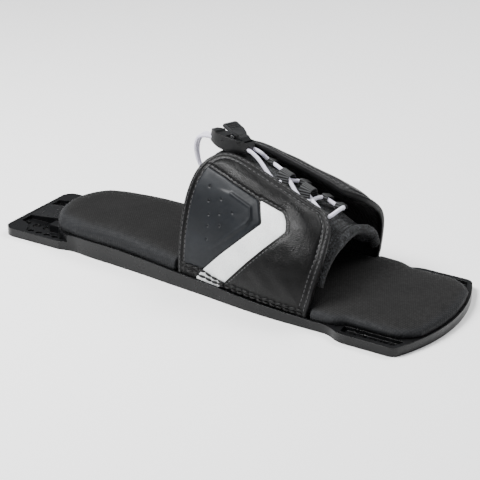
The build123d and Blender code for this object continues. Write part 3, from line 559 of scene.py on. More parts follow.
class Arch:
    """Superellipse arch over the plate, measured by x and by s, the distance down from its crown line."""

    def __init__(self, crown, inset, flare=None):
        self.crown, self.inset, self.flare = crown, inset, flare
        self.xs = np.arange(-45.0, 126.0)
        self.turn = np.linspace(0, math.pi / 2, 400)
        y, z = self.section(self.xs[:, None], self.turn[None, :])
        steps = np.hypot(np.diff(y, axis=1), np.diff(z, axis=1))
        self.table = np.concatenate([np.zeros((len(self.xs), 1)), np.cumsum(steps, axis=1)], axis=1)

    def section(self, x, turn):
        foot, half = riser(x), half_width(x) - self.inset
        rise = self.crown(x) - foot
        return (half * np.sin(turn) ** (2 / POWER),
                foot + rise * np.clip(np.cos(turn), 0, 1) ** (2 / POWER))

    def length(self, x):
        return np.interp(x, self.xs, self.table[:, -1])

    def s_of(self, x, turn):
        x, turn = np.broadcast_arrays(np.asarray(x, float), np.asarray(turn, float))
        low = np.clip(np.floor(x - self.xs[0]).astype(int), 0, len(self.xs) - 2)
        share = np.clip(x - self.xs[low], 0, 1)
        column = turn / (math.pi / 2) * (len(self.turn) - 1)
        c0 = np.clip(column.astype(int), 0, len(self.turn) - 2)
        part = column - c0
        def row(r):
            return self.table[r, c0] * (1 - part) + self.table[r, c0 + 1] * part
        return row(low) * (1 - share) + row(low + 1) * share

    def s_at(self, x, y, z):
        """s of a point on the arch, from its distance from the centre plane and its height."""
        foot, half = riser(x), half_width(x) - self.inset
        rise = self.crown(x) - foot
        up = np.clip((np.asarray(z, float) - foot) / rise, 0, 1) ** (POWER / 2)
        out = np.clip(np.abs(y) / half, 0, 1) ** (POWER / 2)
        below = np.clip(foot - np.asarray(z, float), 0, None)
        return self.s_of(x, np.arctan2(out, up)) + below

    def s_at_height(self, x, z):
        foot = riser(x)
        up = np.clip((np.asarray(z, float) - foot) / (self.crown(x) - foot), 0, 1) ** (POWER / 2)
        return self.s_of(x, np.arccos(up)) + np.clip(foot - np.asarray(z, float), 0, None)

    def base(self, x, s):
        """Point (x, |y|, z) at s; past the foot it goes straight down, and s below 0 is past the crown."""
        x, s = np.broadcast_arrays(np.asarray(x, float), np.asarray(s, float))
        flat_x, flat_s = x.ravel(), np.abs(s.ravel())
        low = np.clip(np.floor(flat_x - self.xs[0]).astype(int), 0, len(self.xs) - 2)
        turn = np.zeros(len(flat_x))
        for r in np.unique(low):
            at = low == r
            share = np.clip(flat_x[at] - self.xs[r], 0, 1)
            t0 = np.interp(flat_s[at], self.table[r], self.turn)
            t1 = np.interp(flat_s[at], self.table[r + 1], self.turn)
            turn[at] = t0 * (1 - share) + t1 * share
        turn = turn.reshape(x.shape)
        y, z = self.section(x, turn)
        z = z - np.clip(np.abs(s) - self.length(x), 0, None)
        return np.stack([x, np.where(s < 0, -y, y), z], axis=-1)

    def surface(self, x, s, h=0.0, side=-1):
        """Point at height h above the arch's face, on the near (-1) or far (1) side, and the face's normal."""
        e = 0.35
        along = self.base(x + e, s) - self.base(x - e, s)
        down = self.base(x, s + e) - self.base(x, s - e)
        normal = np.cross(along, down)
        normal /= np.maximum(np.linalg.norm(normal, axis=-1, keepdims=True), 1e-9)
        if self.flare and side > 0:
            h = h + self.flare(x, self.length(x) - s)
        point = self.base(x, s) + normal * np.asarray(h, float)[..., None]
        flip = np.array([1.0, side, 1.0])
        return point * flip, normal * flip


def far_flare(x, foot):
    """How far the far quarter stands open from the plain arch."""
    return (1.2 + 5.2 * smoothstep(x, 0.0, 85.0)) * smoothstep(foot, 10.0, 45.0)


STRAP = Arch(strap_crown, STRAP_INSET, far_flare)
TONGUE_ARCH = Arch(smooth_stations(TONGUE), TONGUE_INSET)


def curve_through(points, count):
    """Catmull-Rom curve through 2-D or 3-D points, evenly spaced."""
    p = np.asarray(points, float)
    p = np.concatenate([[2 * p[0] - p[1]], p, [2 * p[-1] - p[-2]]])
    fine = []
    for a, b, c, d in zip(p, p[1:], p[2:], p[3:]):
        t = np.linspace(0, 1, 24, endpoint=False)[:, None]
        square, cube = (2 * a - 5 * b + 4 * c - d) * t ** 2, (3 * b - a - 3 * c + d) * t ** 3
        fine.append(0.5 * (2 * b + (c - a) * t + square + cube))
    fine = np.concatenate(fine + [p[-2:-1]])
    return resample(fine, np.linspace(0, 1, count))


def resample(curve, shares):
    along = np.concatenate([[0], np.cumsum(step_lengths(curve))])
    return np.stack([np.interp(np.asarray(shares) * along[-1], along, curve[:, k]) for k in range(curve.shape[1])], 1)


def graded(count, pull=0.7):
    """Shares from 0 to 1 that crowd towards both ends."""
    k = np.linspace(0, 1, count)
    return (1 - pull) * k + pull * (0.5 - 0.5 * np.cos(math.pi * k))


def distance_to(points, line, closed=False):
    """Distance of 2-D points to a polyline."""
    p = np.asarray(points, float).reshape(-1, 2)
    ends = np.roll(line, -1, axis=0) if closed else line[1:]
    starts = line if closed else line[:-1]
    best = np.full(len(p), 1e9)
    for a, b in zip(starts, ends):
        run = b - a
        share = np.clip(((p - a) @ run) / max(run @ run, 1e-12), 0, 1)
        best = np.minimum(best, np.hypot(*(p - a - share[:, None] * run).T))
    return best.reshape(np.asarray(points).shape[:-1])


def inside(points, polygon):
    """Whether 2-D points lie in a closed polygon."""
    p = np.asarray(points, float).reshape(-1, 2)
    odd = np.zeros(len(p), bool)
    for a, b in zip(polygon, np.roll(polygon, -1, axis=0)):
        if a[1] == b[1]:
            continue
        crosses = (a[1] > p[:, 1]) != (b[1] > p[:, 1])
        odd ^= crosses & (p[:, 0] < (b[0] - a[0]) * (p[:, 1] - a[1]) / (b[1] - a[1]) + a[0])
    return odd.reshape(np.asarray(points).shape[:-1])


def signed_distance(points, polygon):
    """Negative inside the polygon."""
    away = distance_to(points, polygon, closed=True)
    return np.where(inside(points, polygon), -away, away)


def rounded_polygon(corners, radius, step=0.8):
    """Closed outline with each corner rounded by up to radius."""
    corners = np.asarray(corners, float)
    out = []
    for before, at, after in zip(np.roll(corners, 1, 0), corners, np.roll(corners, -1, 0)):
        a, b = before - at, after - at
        la, lb = np.linalg.norm(a), np.linalg.norm(b)
        cut = min(radius, 0.4 * la, 0.4 * lb)
        p, q = at + a / la * cut, at + b / lb * cut
        for t in np.linspace(0, 1, 7):
            out.append((1 - t) ** 2 * p + 2 * t * (1 - t) * at + t ** 2 * q)
    out = np.array(out)
    closed = np.concatenate([out, out[:1]])
    total = step_lengths(closed).sum()
    return resample(closed, np.linspace(0, 1, int(total / step) + 1))[:-1]


# ---------------------------------------------------------------- strap outlines, in (x, s)
WINDOW_S = float(STRAP.s_at(40.0, 11.6, strap_crown(40.0) - 1.2))
HEEL_EDGE = [(-13.7, 5.2), (-13.8, 12), (-13.6, 31), (-13.2, 45), (-12.6, 57), (-11.6, 67), (-9.6, 76), (-6.4, 81.8)]
TOE_EDGE = [(77.5, 11.6, 62.7), (82, 15, 60), (86.8, 20.6, 56.2), (89.6, 28.3, 50.7), (91.0, 36.9, 42.3),
            (90.8, 41.4, 36), (89.8, 45.3, 27.4), (88.4, 47.7, 18), (86.6, 48.6, 10.5), (86.0, 48.7, 4.9)]
PANEL_XZ = [(-2.4, 79.9), (12, 76.6), (31.5, 70.0), (39.6, 67.2), (45.6, 55.9), (19.3, 31.2), (7.2, 18.0),
            (-8.6, 18.4), (-8.4, 33), (-8.0, 46), (-7.2, 60), (-6.2, 69)]
CHEVRON_XZ = [(40.6, 67.4), (57.2, 62.4), (60.8, 58.5), (62.9, 53.5), (51.4, 42.2), (40.6, 31.1), (24.6, 13.6),
              (20.3, 8.85), (0.4, 9.7), (7.6, 18.2), (19.7, 30.7), (46.4, 55.8)]
RIDGE_XZ = [(20.9, 68.6), (36.0, 63.2), (38.4, 57.6), (36.8, 54.2), (12.6, 33.6)]
VENTS_XZ = [(4.3, 70), (6.1, 62), (15.2, 64.6), (8.1, 54), (16.1, 56), (25.2, 58.5), (8.5, 47), (17.6, 49), (8.9, 38.6)]


def on_strap(points_xz):
    """Side-view points (x, z) as (x, s)."""
    p = np.asarray(points_xz, float)
    return np.stack([p[:, 0], STRAP.s_at_height(p[:, 0], p[:, 1])], 1)


def dense(points, closed=True, step=1.0):
    """Points along straight runs, about a step apart."""
    p = np.asarray(points, float)
    if closed:
        p = np.concatenate([p, p[:1]])
    total = step_lengths(p).sum()
    return resample(p, np.linspace(0, 1, int(total / step) + 1))


def free_edge():
    """The quarter's free edge: up the heel side, along the window and down the toe side."""
    heel = on_strap(HEEL_EDGE)
    toe = np.array([(x, float(STRAP.s_at(x, y, z))) for x, y, z in TOE_EDGE])
    corner = [(-3.0, WINDOW_S + 6.2), (1.2, WINDOW_S + 2.6), (7.5, WINDOW_S + 0.4), (16.0, WINDOW_S)]
    window = [(x, WINDOW_S) for x in (30.0, 45.0, 60.0, 70.0)]
    return curve_through(np.concatenate([heel, corner, window, toe]), 700)


EDGE = free_edge()
PANEL = rounded_polygon(dense(on_strap(dense(PANEL_XZ)[:-1]), step=2.0)[:-1], 0.9)
CHEVRON = rounded_polygon(dense(on_strap(dense(CHEVRON_XZ)[:-1]), step=2.0)[:-1], 0.9)
RIDGE = on_strap(dense(RIDGE_XZ, closed=False))
RAISED = on_strap(dense(RIDGE_XZ + [(-16, 30), (-16, 72)])[:-1])
VENTS = on_strap(VENTS_XZ)
SEAM_EDGE, SEAM_INNER, SEAM_REGION = 1.7, 5.0, 1.7
FOOT_ROWS = ([(-11, 8.2), (7, 7.6), (21, 5.0), (85, 4.0)], [(-11, 4.4), (4, 3.9), (20, 2.6), (85, 1.6)])
FOOT_STITCH = {"length": 5.2, "gap": -0.2, "radius": 0.92, "tilt": 0.1}


def overlay_distance(points):
    """Signed distance to the panel and chevron together."""
    return np.minimum(signed_distance(points, PANEL), signed_distance(points, CHEVRON))


def foot_distance(x, s):
    """How far above the strap's foot a point is."""
    return STRAP.length(x) - s


def leather_height(x, s):
    """Height of the padded leather over the plain arch: raised round the overlays, pulled down by the seams."""
    points = np.stack([x, s], -1)
    edge = distance_to(points, EDGE)
    region = overlay_distance(points)
    leather_side = smoothstep(region, 0.0, 0.7)
    foot = foot_distance(x, s)
    room = np.clip(np.minimum(np.minimum(edge - SEAM_INNER, region - SEAM_REGION), foot - 6.5), 0, None)
    puff = 1.25 * (1 - np.exp(-room / 4.5))
    lift = 0.05 + (0.2 + 0.55 * smoothstep(edge, 2.4, 7.0)) * smoothstep(foot, 0.2, 5.0)
    wander = 0.22 * np.sin(x * 0.23 + 0.6 * np.sin(s * 0.21)) * np.sin(s * 0.31 + 1.1) * smoothstep(room, 0.5, 5.0)
    seams = 0.5 * bell(edge - SEAM_INNER, 0.75) + 0.5 * bell(region - SEAM_REGION, 0.75)
    seams = seams * smoothstep(foot, 0.5, 3.0)
    return leather_side * (lift + puff + wander - seams) - 0.25 * bell(edge - SEAM_EDGE, 0.5)


def coons(bottom, top, left, right, us, vs):
    """Grid inside four boundary curves. Bottom and top run with u, left and right with v."""
    b, t, l, r = resample(bottom, us), resample(top, us), resample(left, vs), resample(right, vs)
    u, v = us[None, :, None], vs[:, None, None]
    along_u = (1 - v) * b[None] + v * t[None]
    along_v = (1 - u) * l[:, None] + u * r[:, None]
    corners = (1 - u) * (1 - v) * b[0] + u * (1 - v) * b[-1] + (1 - u) * v * t[0] + u * v * t[-1]
    return along_u + along_v - corners


def quarter_grid(edge, columns, rows, pull=0.75):
    """Grid of (x, s) over the quarter inside a free edge."""
    heel_corner = int(np.argmin(np.abs(edge[:, 0] + 3.5) + 1e3 * (edge[:, 1] > 40)))
    toe_corner = int(np.argmin(np.abs(edge[:, 0] - 84.0) + 1e3 * (edge[:, 1] > 30)))
    heel, window, toe = edge[:heel_corner + 1], edge[heel_corner:toe_corner + 1], edge[toe_corner:][::-1]
    foot = dense([edge[0], edge[-1]], closed=False)
    return coons(foot, window, heel, toe, graded(columns, pull), graded(rows, pull))


def inset_edge(amount, line=None):
    """The free edge moved into the leather by amount."""
    line = EDGE if line is None else line
    run = directions(line)
    return line + amount * np.stack([run[:, 1], -run[:, 0]], 1) * INWARD


def inward_sign():
    """Which side of the free edge the leather lies on: at the window it is the side where s grows."""
    run = EDGE[351] - EDGE[349]
    return 1.0 if -run[0] > 0 else -1.0


INWARD = inward_sign()


def strap_shell(name, x, s, heights, bulge, slot, side, node):
    """Closed layer of the strap between two heights over the arch."""
    outer, inner = (STRAP.surface(x, s, height, side)[0] for height in heights)
    points, faces = shell(outer, inner, bulge)
    return add_piece(name, points, faces if side > 0 else [f[::-1] for f in faces], slot, replaces=[node])


def make_quarter(name, side):
    x, s = np.moveaxis(quarter_grid(inset_edge(0.35), 170, 150), -1, 0)
    heights = leather_height(x, s), np.full(x.shape, -LEATHER + 0.05)
    return strap_shell(f"leather_{name}", x, s, heights, 0.15, "strap_leather", side, f"quarter_{name}")


def make_lining(name, side):
    """Soft lining inside the quarter, quilted in lengthwise channels."""
    grid = quarter_grid(inset_edge(0.8), 90, 110)
    x, s = grid[..., 0], grid[..., 1]
    edge = distance_to(grid, EDGE)
    quilt = 0.3 * np.abs(np.sin(math.pi * (s - WINDOW_S) / 9.0)) ** 0.6 * smoothstep(edge, 3, 8)
    heights = np.full(x.shape, -LEATHER - 0.05), -LINING_IN + 0.15 - quilt
    return strap_shell(f"lining_pad_{name}", x, s, heights, 0.3, "lining_fabric", side, f"lining_{name}")


def make_binding(name, side):
    """Tape folded over the free edge, from the leather's face to the lining's."""
    profile = ((2.9, -0.15), (2.7, 0.42), (2.0, 0.5), (1.0, 0.52), (0.35, 0.42), (-0.05, 0.05), (-0.3, -0.7),
               (-0.36, -1.7), (-0.3, -2.7), (0.0, -3.35), (0.5, -3.68), (1.6, -3.72), (2.6, -3.66), (2.9, -3.1))
    rings = []
    line = resample(EDGE, np.linspace(0, 1, 420))
    pucker = 0.05 * np.sin(np.arange(420) * 2 * math.pi / 3.1)
    for w, h in profile:
        moved = inset_edge(w, line)
        ring, _ = STRAP.surface(moved[:, 0], moved[:, 1], h + (pucker if 0.3 < w < 2.8 else 0.0) * np.ones(420), side)
        rings.append(ring)
    grid = np.stack(rings, axis=1)
    faces = grid_faces(*grid.shape[:2], close_columns=True, flip=side > 0)
    faces += end_caps(*grid.shape[:2], flip=True)
    return add_piece(f"edge_tape_{name}", grid.reshape(-1, 3), faces, "binding_leather",
                     replaces=[f"edge_binding_{name}"])


def relief(name, outline, height, slot, side, replaces, spacing=0.75):
    """Overlay on the strap: a fine grid cut to the outline, its border moved onto it."""
    low, high = outline.min(0) - spacing, outline.max(0) + spacing
    xs, ss = np.arange(low[0], high[0], spacing), np.arange(low[1], high[1], spacing)
    grid = np.stack(np.meshgrid(xs, ss, indexing="ij"), -1)
    keep = signed_distance(grid, outline) < 0.3 * spacing
    rows, columns = keep.shape
    cell = keep[:-1, :-1] & keep[1:, :-1] & keep[1:, 1:] & keep[:-1, 1:]
    neighbours = np.zeros(keep.shape, int)
    for di in (0, 1):
        for dj in (0, 1):
            neighbours[di:rows - 1 + di, dj:columns - 1 + dj] += cell
    used = neighbours > 0
    border = used & (neighbours < 4)
    flat = grid.copy()
    fine = dense(outline, step=0.15)
    for i, j in zip(*np.nonzero(border)):
        flat[i, j] = fine[np.argmin(((fine - flat[i, j]) ** 2).sum(1))]
    number = -np.ones(keep.shape, int)
    number[used] = np.arange(used.sum())
    points2 = flat[used]
    top, _ = STRAP.surface(*points2.T, height(points2, -signed_distance(points2, outline)), side)
    faces = []
    for i, j in zip(*np.nonzero(cell)):
        quad = (number[i, j], number[i + 1, j], number[i + 1, j + 1], number[i, j + 1])
        faces.append(quad if side < 0 else quad[::-1])
    return add_piece(name, top, faces, slot, replaces=replaces)


def panel_height(points, depth):
    ridge = distance_to(points, RIDGE)
    inward = -signed_distance(points, RAISED)
    fade = smoothstep(points[:, 0], 6.0, 27.0)
    raised = fade * (0.62 * smoothstep(inward, -1.7, 0.5) + 0.5 * bell(ridge, 0.9))
    raised = raised - 0.3 * fade * smoothstep(inward, 1.0, 9.0)
    holes = 1.5 * sum(bell(np.hypot(*(points - v).T), 0.62) for v in VENTS)
    swell = 0.18 * np.sin(points[:, 0] * 0.11 + 0.9) * np.cos(points[:, 1] * 0.08)
    return 0.12 + 0.55 * round_height(depth, 1.2) + raised + swell * smoothstep(depth, 1, 6) - 0.75 * holes


def chevron_height(points, depth):
    return 0.1 + 0.32 * round_height(depth, 0.8)


def stitch_row(line, height, side, length=2.5, gap=0.8, radius=0.36, tilt=0.0):
    """Stitches along a line in (x, s), as centres, directions and normals."""
    total = step_lengths(line).sum()
    count = max(2, int(total / (length + gap)))
    shares = (np.arange(count) + 0.5) / count
    middle = resample(line, shares)
    e = 0.4 * length / total
    ahead, behind = resample(line, np.clip(shares + e, 0, 1)), resample(line, np.clip(shares - e, 0, 1))
    lift = height(*middle.T)
    centre, normal = STRAP.surface(*middle.T, lift + radius * 0.45 - 0.05, side)
    a, b = (STRAP.surface(*line_points.T, lift, side)[0] for line_points in (ahead, behind))
    run = unit(a - b)
    if tilt:
        across = np.cross(normal, run)
        lean = tilt * np.where(np.arange(count) % 2, 1.0, -1.0)[:, None]
        run = run * np.cos(lean) + across * np.sin(lean)
    return centre, run, normal, length, radius


def stitch_mesh(name, rows, material, slot="strap_leather"):
    """All stitches of a group as one mesh of small rounded dashes."""
    ring, rings = 8, 7
    points, faces = [], []
    for centre, run, normal, length, radius in rows:
        across = np.cross(normal, run)
        for c, t, n, b in zip(centre, run, normal, across):
            start = len(points)
            for k in range(rings):
                u = -1 + 2 * k / (rings - 1)
                r = radius * max(0.12, (1 - abs(u) ** 3.0)) ** 0.5
                for j in range(ring):
                    a = 2 * math.pi * j / ring
                    points.append(c + t * u * length / 2 + (n * math.sin(a) * 0.8 + b * math.cos(a)) * r
                                  - n * radius * 0.5 * u * u)
            faces += grid_faces(rings, ring, start, close_columns=True) + end_caps(rings, ring, start=start)
    return add_piece(name, points, faces, slot, material=material)


def foot_row(stations):
    """A line along the strap's foot, from stations (x, distance above the plate)."""
    xs = np.linspace(-11.0, 84.6, 60)
    return np.stack([xs, STRAP.length(xs) - np.interp(xs, *np.transpose(stations))], 1)


def clipped(line, keep):
    """The longest stretch of a line whose points are kept."""
    best, current = [], []
    for point, ok in zip(line, keep):
        current = current + [point] if ok else []
        best = current if len(current) > len(best) else best
    return np.array(best)


def region_seams():
    """Seam beside the overlays, only where leather lies next to them."""
    rows = []
    for outline in (PANEL, CHEVRON):
        closed = dense(outline, step=0.6)
        run = directions(closed)
        out = np.stack([run[:, 1], -run[:, 0]], 1)
        if inside((closed[:1] + out[:1] * 0.5)[None], outline)[0, 0]:
            out = -out
        moved = closed + out * SEAM_REGION
        ok = (overlay_distance(moved) > SEAM_REGION - 0.25) & (distance_to(moved, EDGE) > SEAM_INNER + 1.0)
        ok &= foot_distance(moved[:, 0], moved[:, 1]) > 1.2
        rows.append(clipped(np.concatenate([moved, moved]), np.concatenate([ok, ok])))
    return rows


def strap_height_everywhere(x, s):
    """Height of whatever is on top of the strap at a point."""
    points = np.stack([x, s], -1)
    base = leather_height(x, s)
    chevron = signed_distance(points, CHEVRON)
    panel = signed_distance(points, PANEL)
    base = np.where(chevron < 0, chevron_height(points, -chevron) + 0.35, base)
    return np.where(panel < 0, 0.67, base)


def tape_height(x, s):
    return np.full(np.shape(x), 0.5)


def make_strap_side(name, side):
    make_quarter(name, side)
    make_lining(name, side)
    make_binding(name, side)
    relief(f"grip_panel_{name}", PANEL, panel_height, "panel_rubber", side, [f"side_panel_{name}"], 0.5)
    relief(f"silver_chevron_{name}", CHEVRON, chevron_height, "chevron_leather", side, [f"chevron_{name}"], 0.8)
    rows = [stitch_row(inset_edge(SEAM_EDGE)[12:-12], tape_height, side, radius=0.26),
            stitch_row(inset_edge(SEAM_INNER)[16:-16], leather_height, side)]
    rows += [stitch_row(line, leather_height, side) for line in region_seams() if len(line) > 4]
    stitch_mesh(f"stitches_{name}", rows, THREAD)
    heavy = [stitch_row(foot_row(row), strap_height_everywhere, side, **FOOT_STITCH) for row in FOOT_ROWS]
    stitch_mesh(f"foot_stitches_{name}", heavy, THREAD_DARK)


# ---------------------------------------------------------------- tongue
def tongue_grid(x0, x1, columns, rows, feet):
    """Rows of (x, signed s) across the tongue, from one foot to the other."""
    xs = x0 + (x1 - x0) * graded(columns, 0.4)
    shares = 2 * graded(rows, 0.3) - 1
    ends = TONGUE_ARCH.s_at_height(xs, np.full(columns, feet))
    return np.broadcast_to(xs[:, None], (columns, rows)), ends[:, None] * shares[None, :]


def tongue_swell(x, s):
    """The tongue's toe end stands up under the open far quarter."""
    return 3.8 * smoothstep(x, 79.5, 93.0) * smoothstep(s, -14.0, 12.0) * (1 - smoothstep(s, 36.0, 64.0))


def tongue_surface(x, s, h):
    point, _ = TONGUE_ARCH.surface(x, np.abs(s), h + tongue_swell(x, s), 1)
    point[..., 1] *= np.where(s < 0, -1.0, 1.0)
    return point


def make_tongue():
    x, s = tongue_grid(TONGUE_HEEL_X, TONGUE_HEM_X + 0.6, 110, 150, TONGUE_FEET_Z + 0.3)
    ends = np.abs(s[:, :1])
    to_edge = np.minimum(x - TONGUE_HEEL_X, ends - np.abs(s))
    rounded = 1 - (1 - np.clip(to_edge / 2.2, 0, 1)) ** 2
    puff = -0.9 + 0.9 * np.sqrt(rounded)
    seams = 0.5 * bell(x - (TONGUE_HEM_X - 3.5), 0.7) + 0.35 * bell(to_edge - 3.6, 0.6)
    outer = tongue_surface(x, s, puff - seams)
    inner = tongue_surface(x, s, -TONGUE_THICK + 0.9 * (1 - np.sqrt(rounded)))
    points, faces = shell(outer, inner, 0.5)
    return add_piece("tongue_pad", points, faces, "tongue_fabric", replaces=["instep_pad"])


def make_hem():
    """Rolled hem: a fat oval that follows the tongue's toe edge."""
    middle_x = (TONGUE_HEM_X + TONGUE_TOE_X) / 2
    end = float(TONGUE_ARCH.s_at_height(middle_x, TONGUE_FEET_Z - 2.6))
    s = np.linspace(-end, end, 170)
    rings, ring = [], 22
    for j in range(ring):
        a = 2 * math.pi * j / ring
        x = middle_x + 2.35 * signed_power(math.cos(a), 0.8)
        h = -TONGUE_THICK / 2 + (TONGUE_THICK / 2 + 0.8) * signed_power(math.sin(a), 0.8)
        wave = 0.12 * np.sin(s * 0.9) + 0.08 * np.sin(s * 2.3 + 1)
        rings.append(tongue_surface(np.full(s.shape, x), s, h + wave * (0.3 + abs(math.sin(a)))))
    grid = np.stack(rings, axis=1)
    faces = grid_faces(*grid.shape[:2], close_columns=True)
    faces += end_caps(len(s), ring)
    return add_piece("tongue_hem", grid.reshape(-1, 3), faces, "hem_fabric", replaces=["instep_hem"])


def tongue_stitches():
    """Stitch line where the hem joins the tongue."""
    rows = []
    for x0, h in ((TONGUE_HEM_X - 1.3, -0.1), (TONGUE_HEM_X - 3.5, -0.45)):
        end = float(TONGUE_ARCH.s_at_height(x0, TONGUE_FEET_Z + 2))
        line = np.linspace(-end, end, 62)
        ahead, behind = line + 0.8, line - 0.8
        xs = np.full(line.shape, x0)
        centre = tongue_surface(xs, line, np.full(line.shape, h + 0.15))
        run = unit(tongue_surface(xs, ahead, 0 * line) - tongue_surface(xs, behind, 0 * line))
        up = unit(tongue_surface(xs, line, 0 * line + 1.0) - tongue_surface(xs, line, 0 * line))
        rows.append((centre, run, up, 2.0, 0.26))
    return stitch_mesh("tongue_stitches", rows, THREAD_DARK, slot="tongue_fabric")


# ---------------------------------------------------------------- footbed
PAD_TOP = np.array([(-140, 24.2), (-125, 25.4), (-98, 25.9), (-72, 26.5), (-45, 25.0), (-10, 22.0), (30, 19.0),
                    (70, 17.0), (110, 16.0), (140, 15.4), (166, 15.0)], float)
PAD_POWER, PAD_INSET = 3.1, 1.2
PAD_HEEL_X, PAD_SHOULDER, PAD_TOE_X = -134.7, (-119.0, 30.2), 163.3
PAD_TOE_HALF, PAD_TOE_CORNER = 44.5, 154.6
STRAP_SPAN, STRAP_PINCH = (-15.5, 88.5), 5.9
PAD_GAP, UNDERSIDE_RINGS = 0.06, (0.995, 0.4)


def pad_outline():
    """Half of the pad's plan outline, from the heel to the toe, as (x, y)."""
    rise = PAD_SHOULDER[0] - PAD_HEEL_X
    radius = (PAD_SHOULDER[1] ** 2 + rise ** 2) / (2 * rise)
    turn = np.linspace(0, math.asin(PAD_SHOULDER[1] / radius), 40)
    heel = np.stack([PAD_HEEL_X + radius * (1 - np.cos(turn)), radius * np.sin(turn)], 1)
    side = curve_through([tuple(PAD_SHOULDER)] + [(x, half - PAD_INSET) for x, half in BODY] +
                         [(106, 48.0), (114, PAD_TOE_HALF), (122, PAD_TOE_HALF)], 400)
    pinch = smoothstep(side[:, 0], STRAP_SPAN[0] - 1.2, STRAP_SPAN[0]) * (
        1 - smoothstep(side[:, 0], STRAP_SPAN[1], STRAP_SPAN[1] + 1.2))
    side[:, 1] -= pinch * (STRAP_PINCH - PAD_INSET)
    drop = PAD_TOE_X - PAD_TOE_CORNER
    toe_radius = (PAD_TOE_HALF ** 2 + drop ** 2) / (2 * drop)
    ys = np.linspace(PAD_TOE_HALF - 11.0, 0, 40)
    toe = np.stack([PAD_TOE_X - toe_radius + np.sqrt(toe_radius ** 2 - ys ** 2), ys], 1)
    corner = curve_through([(139.0, PAD_TOE_HALF), (144.5, PAD_TOE_HALF - 0.5), (150.2, PAD_TOE_HALF - 2.8),
                            (155.0, PAD_TOE_HALF - 6.8)], 40)
    return np.concatenate([heel[:-1], side, [(130.0, PAD_TOE_HALF)], corner, toe])


def riser_top(x):
    """The riser's rounded top over the heel, then its straight fall."""
    (x1, y1), (x2, y2), (x3, y3) = RISER[:3]
    a = np.array([[x2 - x1, y2 - y1], [x3 - x1, y3 - y1]]) * 2
    b = np.array([x2 ** 2 - x1 ** 2 + y2 ** 2 - y1 ** 2, x3 ** 2 - x1 ** 2 + y3 ** 2 - y1 ** 2])
    cx, cy = np.linalg.solve(a, b)
    radius = math.hypot(x1 - cx, y1 - cy)
    arc = cy + np.sqrt(np.clip(radius ** 2 - (np.asarray(x) - cx) ** 2, 0, None))
    return np.where(np.asarray(x) < x3, arc, riser(x))


def make_footbed():
    half = resample(pad_outline(), np.linspace(0, 1, 520))
    loop = np.concatenate([half, half[::-1][1:-1] * (1, -1)])
    spine_x = np.clip(loop[:, 0], -102.0, 134.0)
    spine = np.stack([spine_x, np.zeros(len(loop))], 1)
    top_line = smooth_stations(PAD_TOP, 14.0)
    shares = 1 - np.linspace(1, 0, 46) ** 1.7
    rings = []
    for r in shares:
        p = spine + (loop - spine) * r
        foot = riser_top(p[:, 0]) + PAD_GAP
        top = top_line(p[:, 0])
        z = foot + (top - foot) * (1 - np.clip(r * 0.992, 0, 1) ** PAD_POWER) ** (1 / PAD_POWER)
        rings.append(np.stack([p[:, 0], p[:, 1], z], 1))
    for r in UNDERSIDE_RINGS:
        p = spine + (loop - spine) * r
        rings.append(np.stack([p[:, 0], p[:, 1], riser_top(p[:, 0]) + PAD_GAP], 1))
    grid = np.stack(rings, 0)
    faces = grid_faces(*grid.shape[:2], close_columns=True)
    piece = add_piece("footbed_pad", grid.reshape(-1, 3), faces, "footbed_foam", replaces=["footbed"])
    return piece


# ---------------------------------------------------------------- lace, loops and keepers
def lock_place():
    turn = Matrix.Rotation(math.radians(LOCK_ROLL), 4, "X") @ Matrix.Rotation(math.radians(LOCK_PITCH), 4, "Y")
    return Matrix.Translation(LOCK_CENTRE) @ turn


def lock_point(x, y, z):
    return tuple(lock_place() @ Vector((x, y, z)))


def lace_height(x, y, depth=LACE_DEPTH):
    foot, half = float(riser(x)), float(half_width(x)) - STRAP_INSET - depth
    rise = float(strap_crown(x)) - depth - foot
    return foot + rise * (1 - (abs(y) / half) ** POWER) ** (1 / POWER)


def lace_points():
    """The lace's route: each loop and keeper has the point where the lace goes in and the one where it comes out."""
    first, second = KEEPER_X

    def loop(x, side, way):
        return [(px, side * LOOP_Y, lace_height(px, LOOP_Y)) for px in (x - 2.4 * way, x + 2.4 * way)]

    def keeper(x, depth, lean):
        return [(x + way * 2.0, way * lean, float(strap_crown(x + way * 2.0)) - depth) for way in (-1, 1)]

    route = [lock_point(x, CHANNEL_Y, CHANNEL_Z) for x in (-12.0, 0.0, 18.5)]
    route += loop(26.5, 1, 1) + keeper(first, 2.4, -2.0) + loop(60.0, -1, 1)
    route += loop(67.0, 1, 1) + loop(77.0, 1, 1)
    route += [(BRIDGE_X, y, BRIDGE_Z) for y in (BRIDGE_Y, -BRIDGE_Y)]
    route += loop(76.6, -1, -1) + keeper(second, 5.3, -2.0)[::-1] + loop(50.5, 1, -1)
    route += keeper(first, 5.3, 2.0)[::-1] + loop(40.0, -1, -1)
    route += [lock_point(x, -CHANNEL_Y, CHANNEL_Z) for x in (18.5, 0.0, -12.0)]
    return route


def tail_points():
    near = [lock_point(x, -CHANNEL_Y, CHANNEL_Z) for x in (-12.05, -19.5)]
    far = [lock_point(x, CHANNEL_Y, CHANNEL_Z) for x in (-19.5, -12.05)]
    return near + TAIL_POINTS + far


def spline_points(name, route):
    """Points along the NURBS spline of a route, in millimetres."""
    data = bpy.data.curves.new(name, "CURVE")
    data.dimensions = "3D"
    spline = data.splines.new("NURBS")
    spline.points.add(len(route) - 1)
    for point, place in zip(spline.points, route):
        point.co = (*[c * MM for c in place], 1)
    spline.order_u = 3
    spline.use_endpoint_u = True
    spline.resolution_u = 14
    holder = bpy.data.objects.new(name, data)
    bpy.context.scene.collection.objects.link(holder)
    mesh = bpy.data.meshes.new_from_object(holder)
    points = np.array([v.co for v in mesh.vertices]) / MM
    bpy.data.objects.remove(holder)
    bpy.data.curves.remove(data)
    bpy.data.meshes.remove(mesh)
    return points


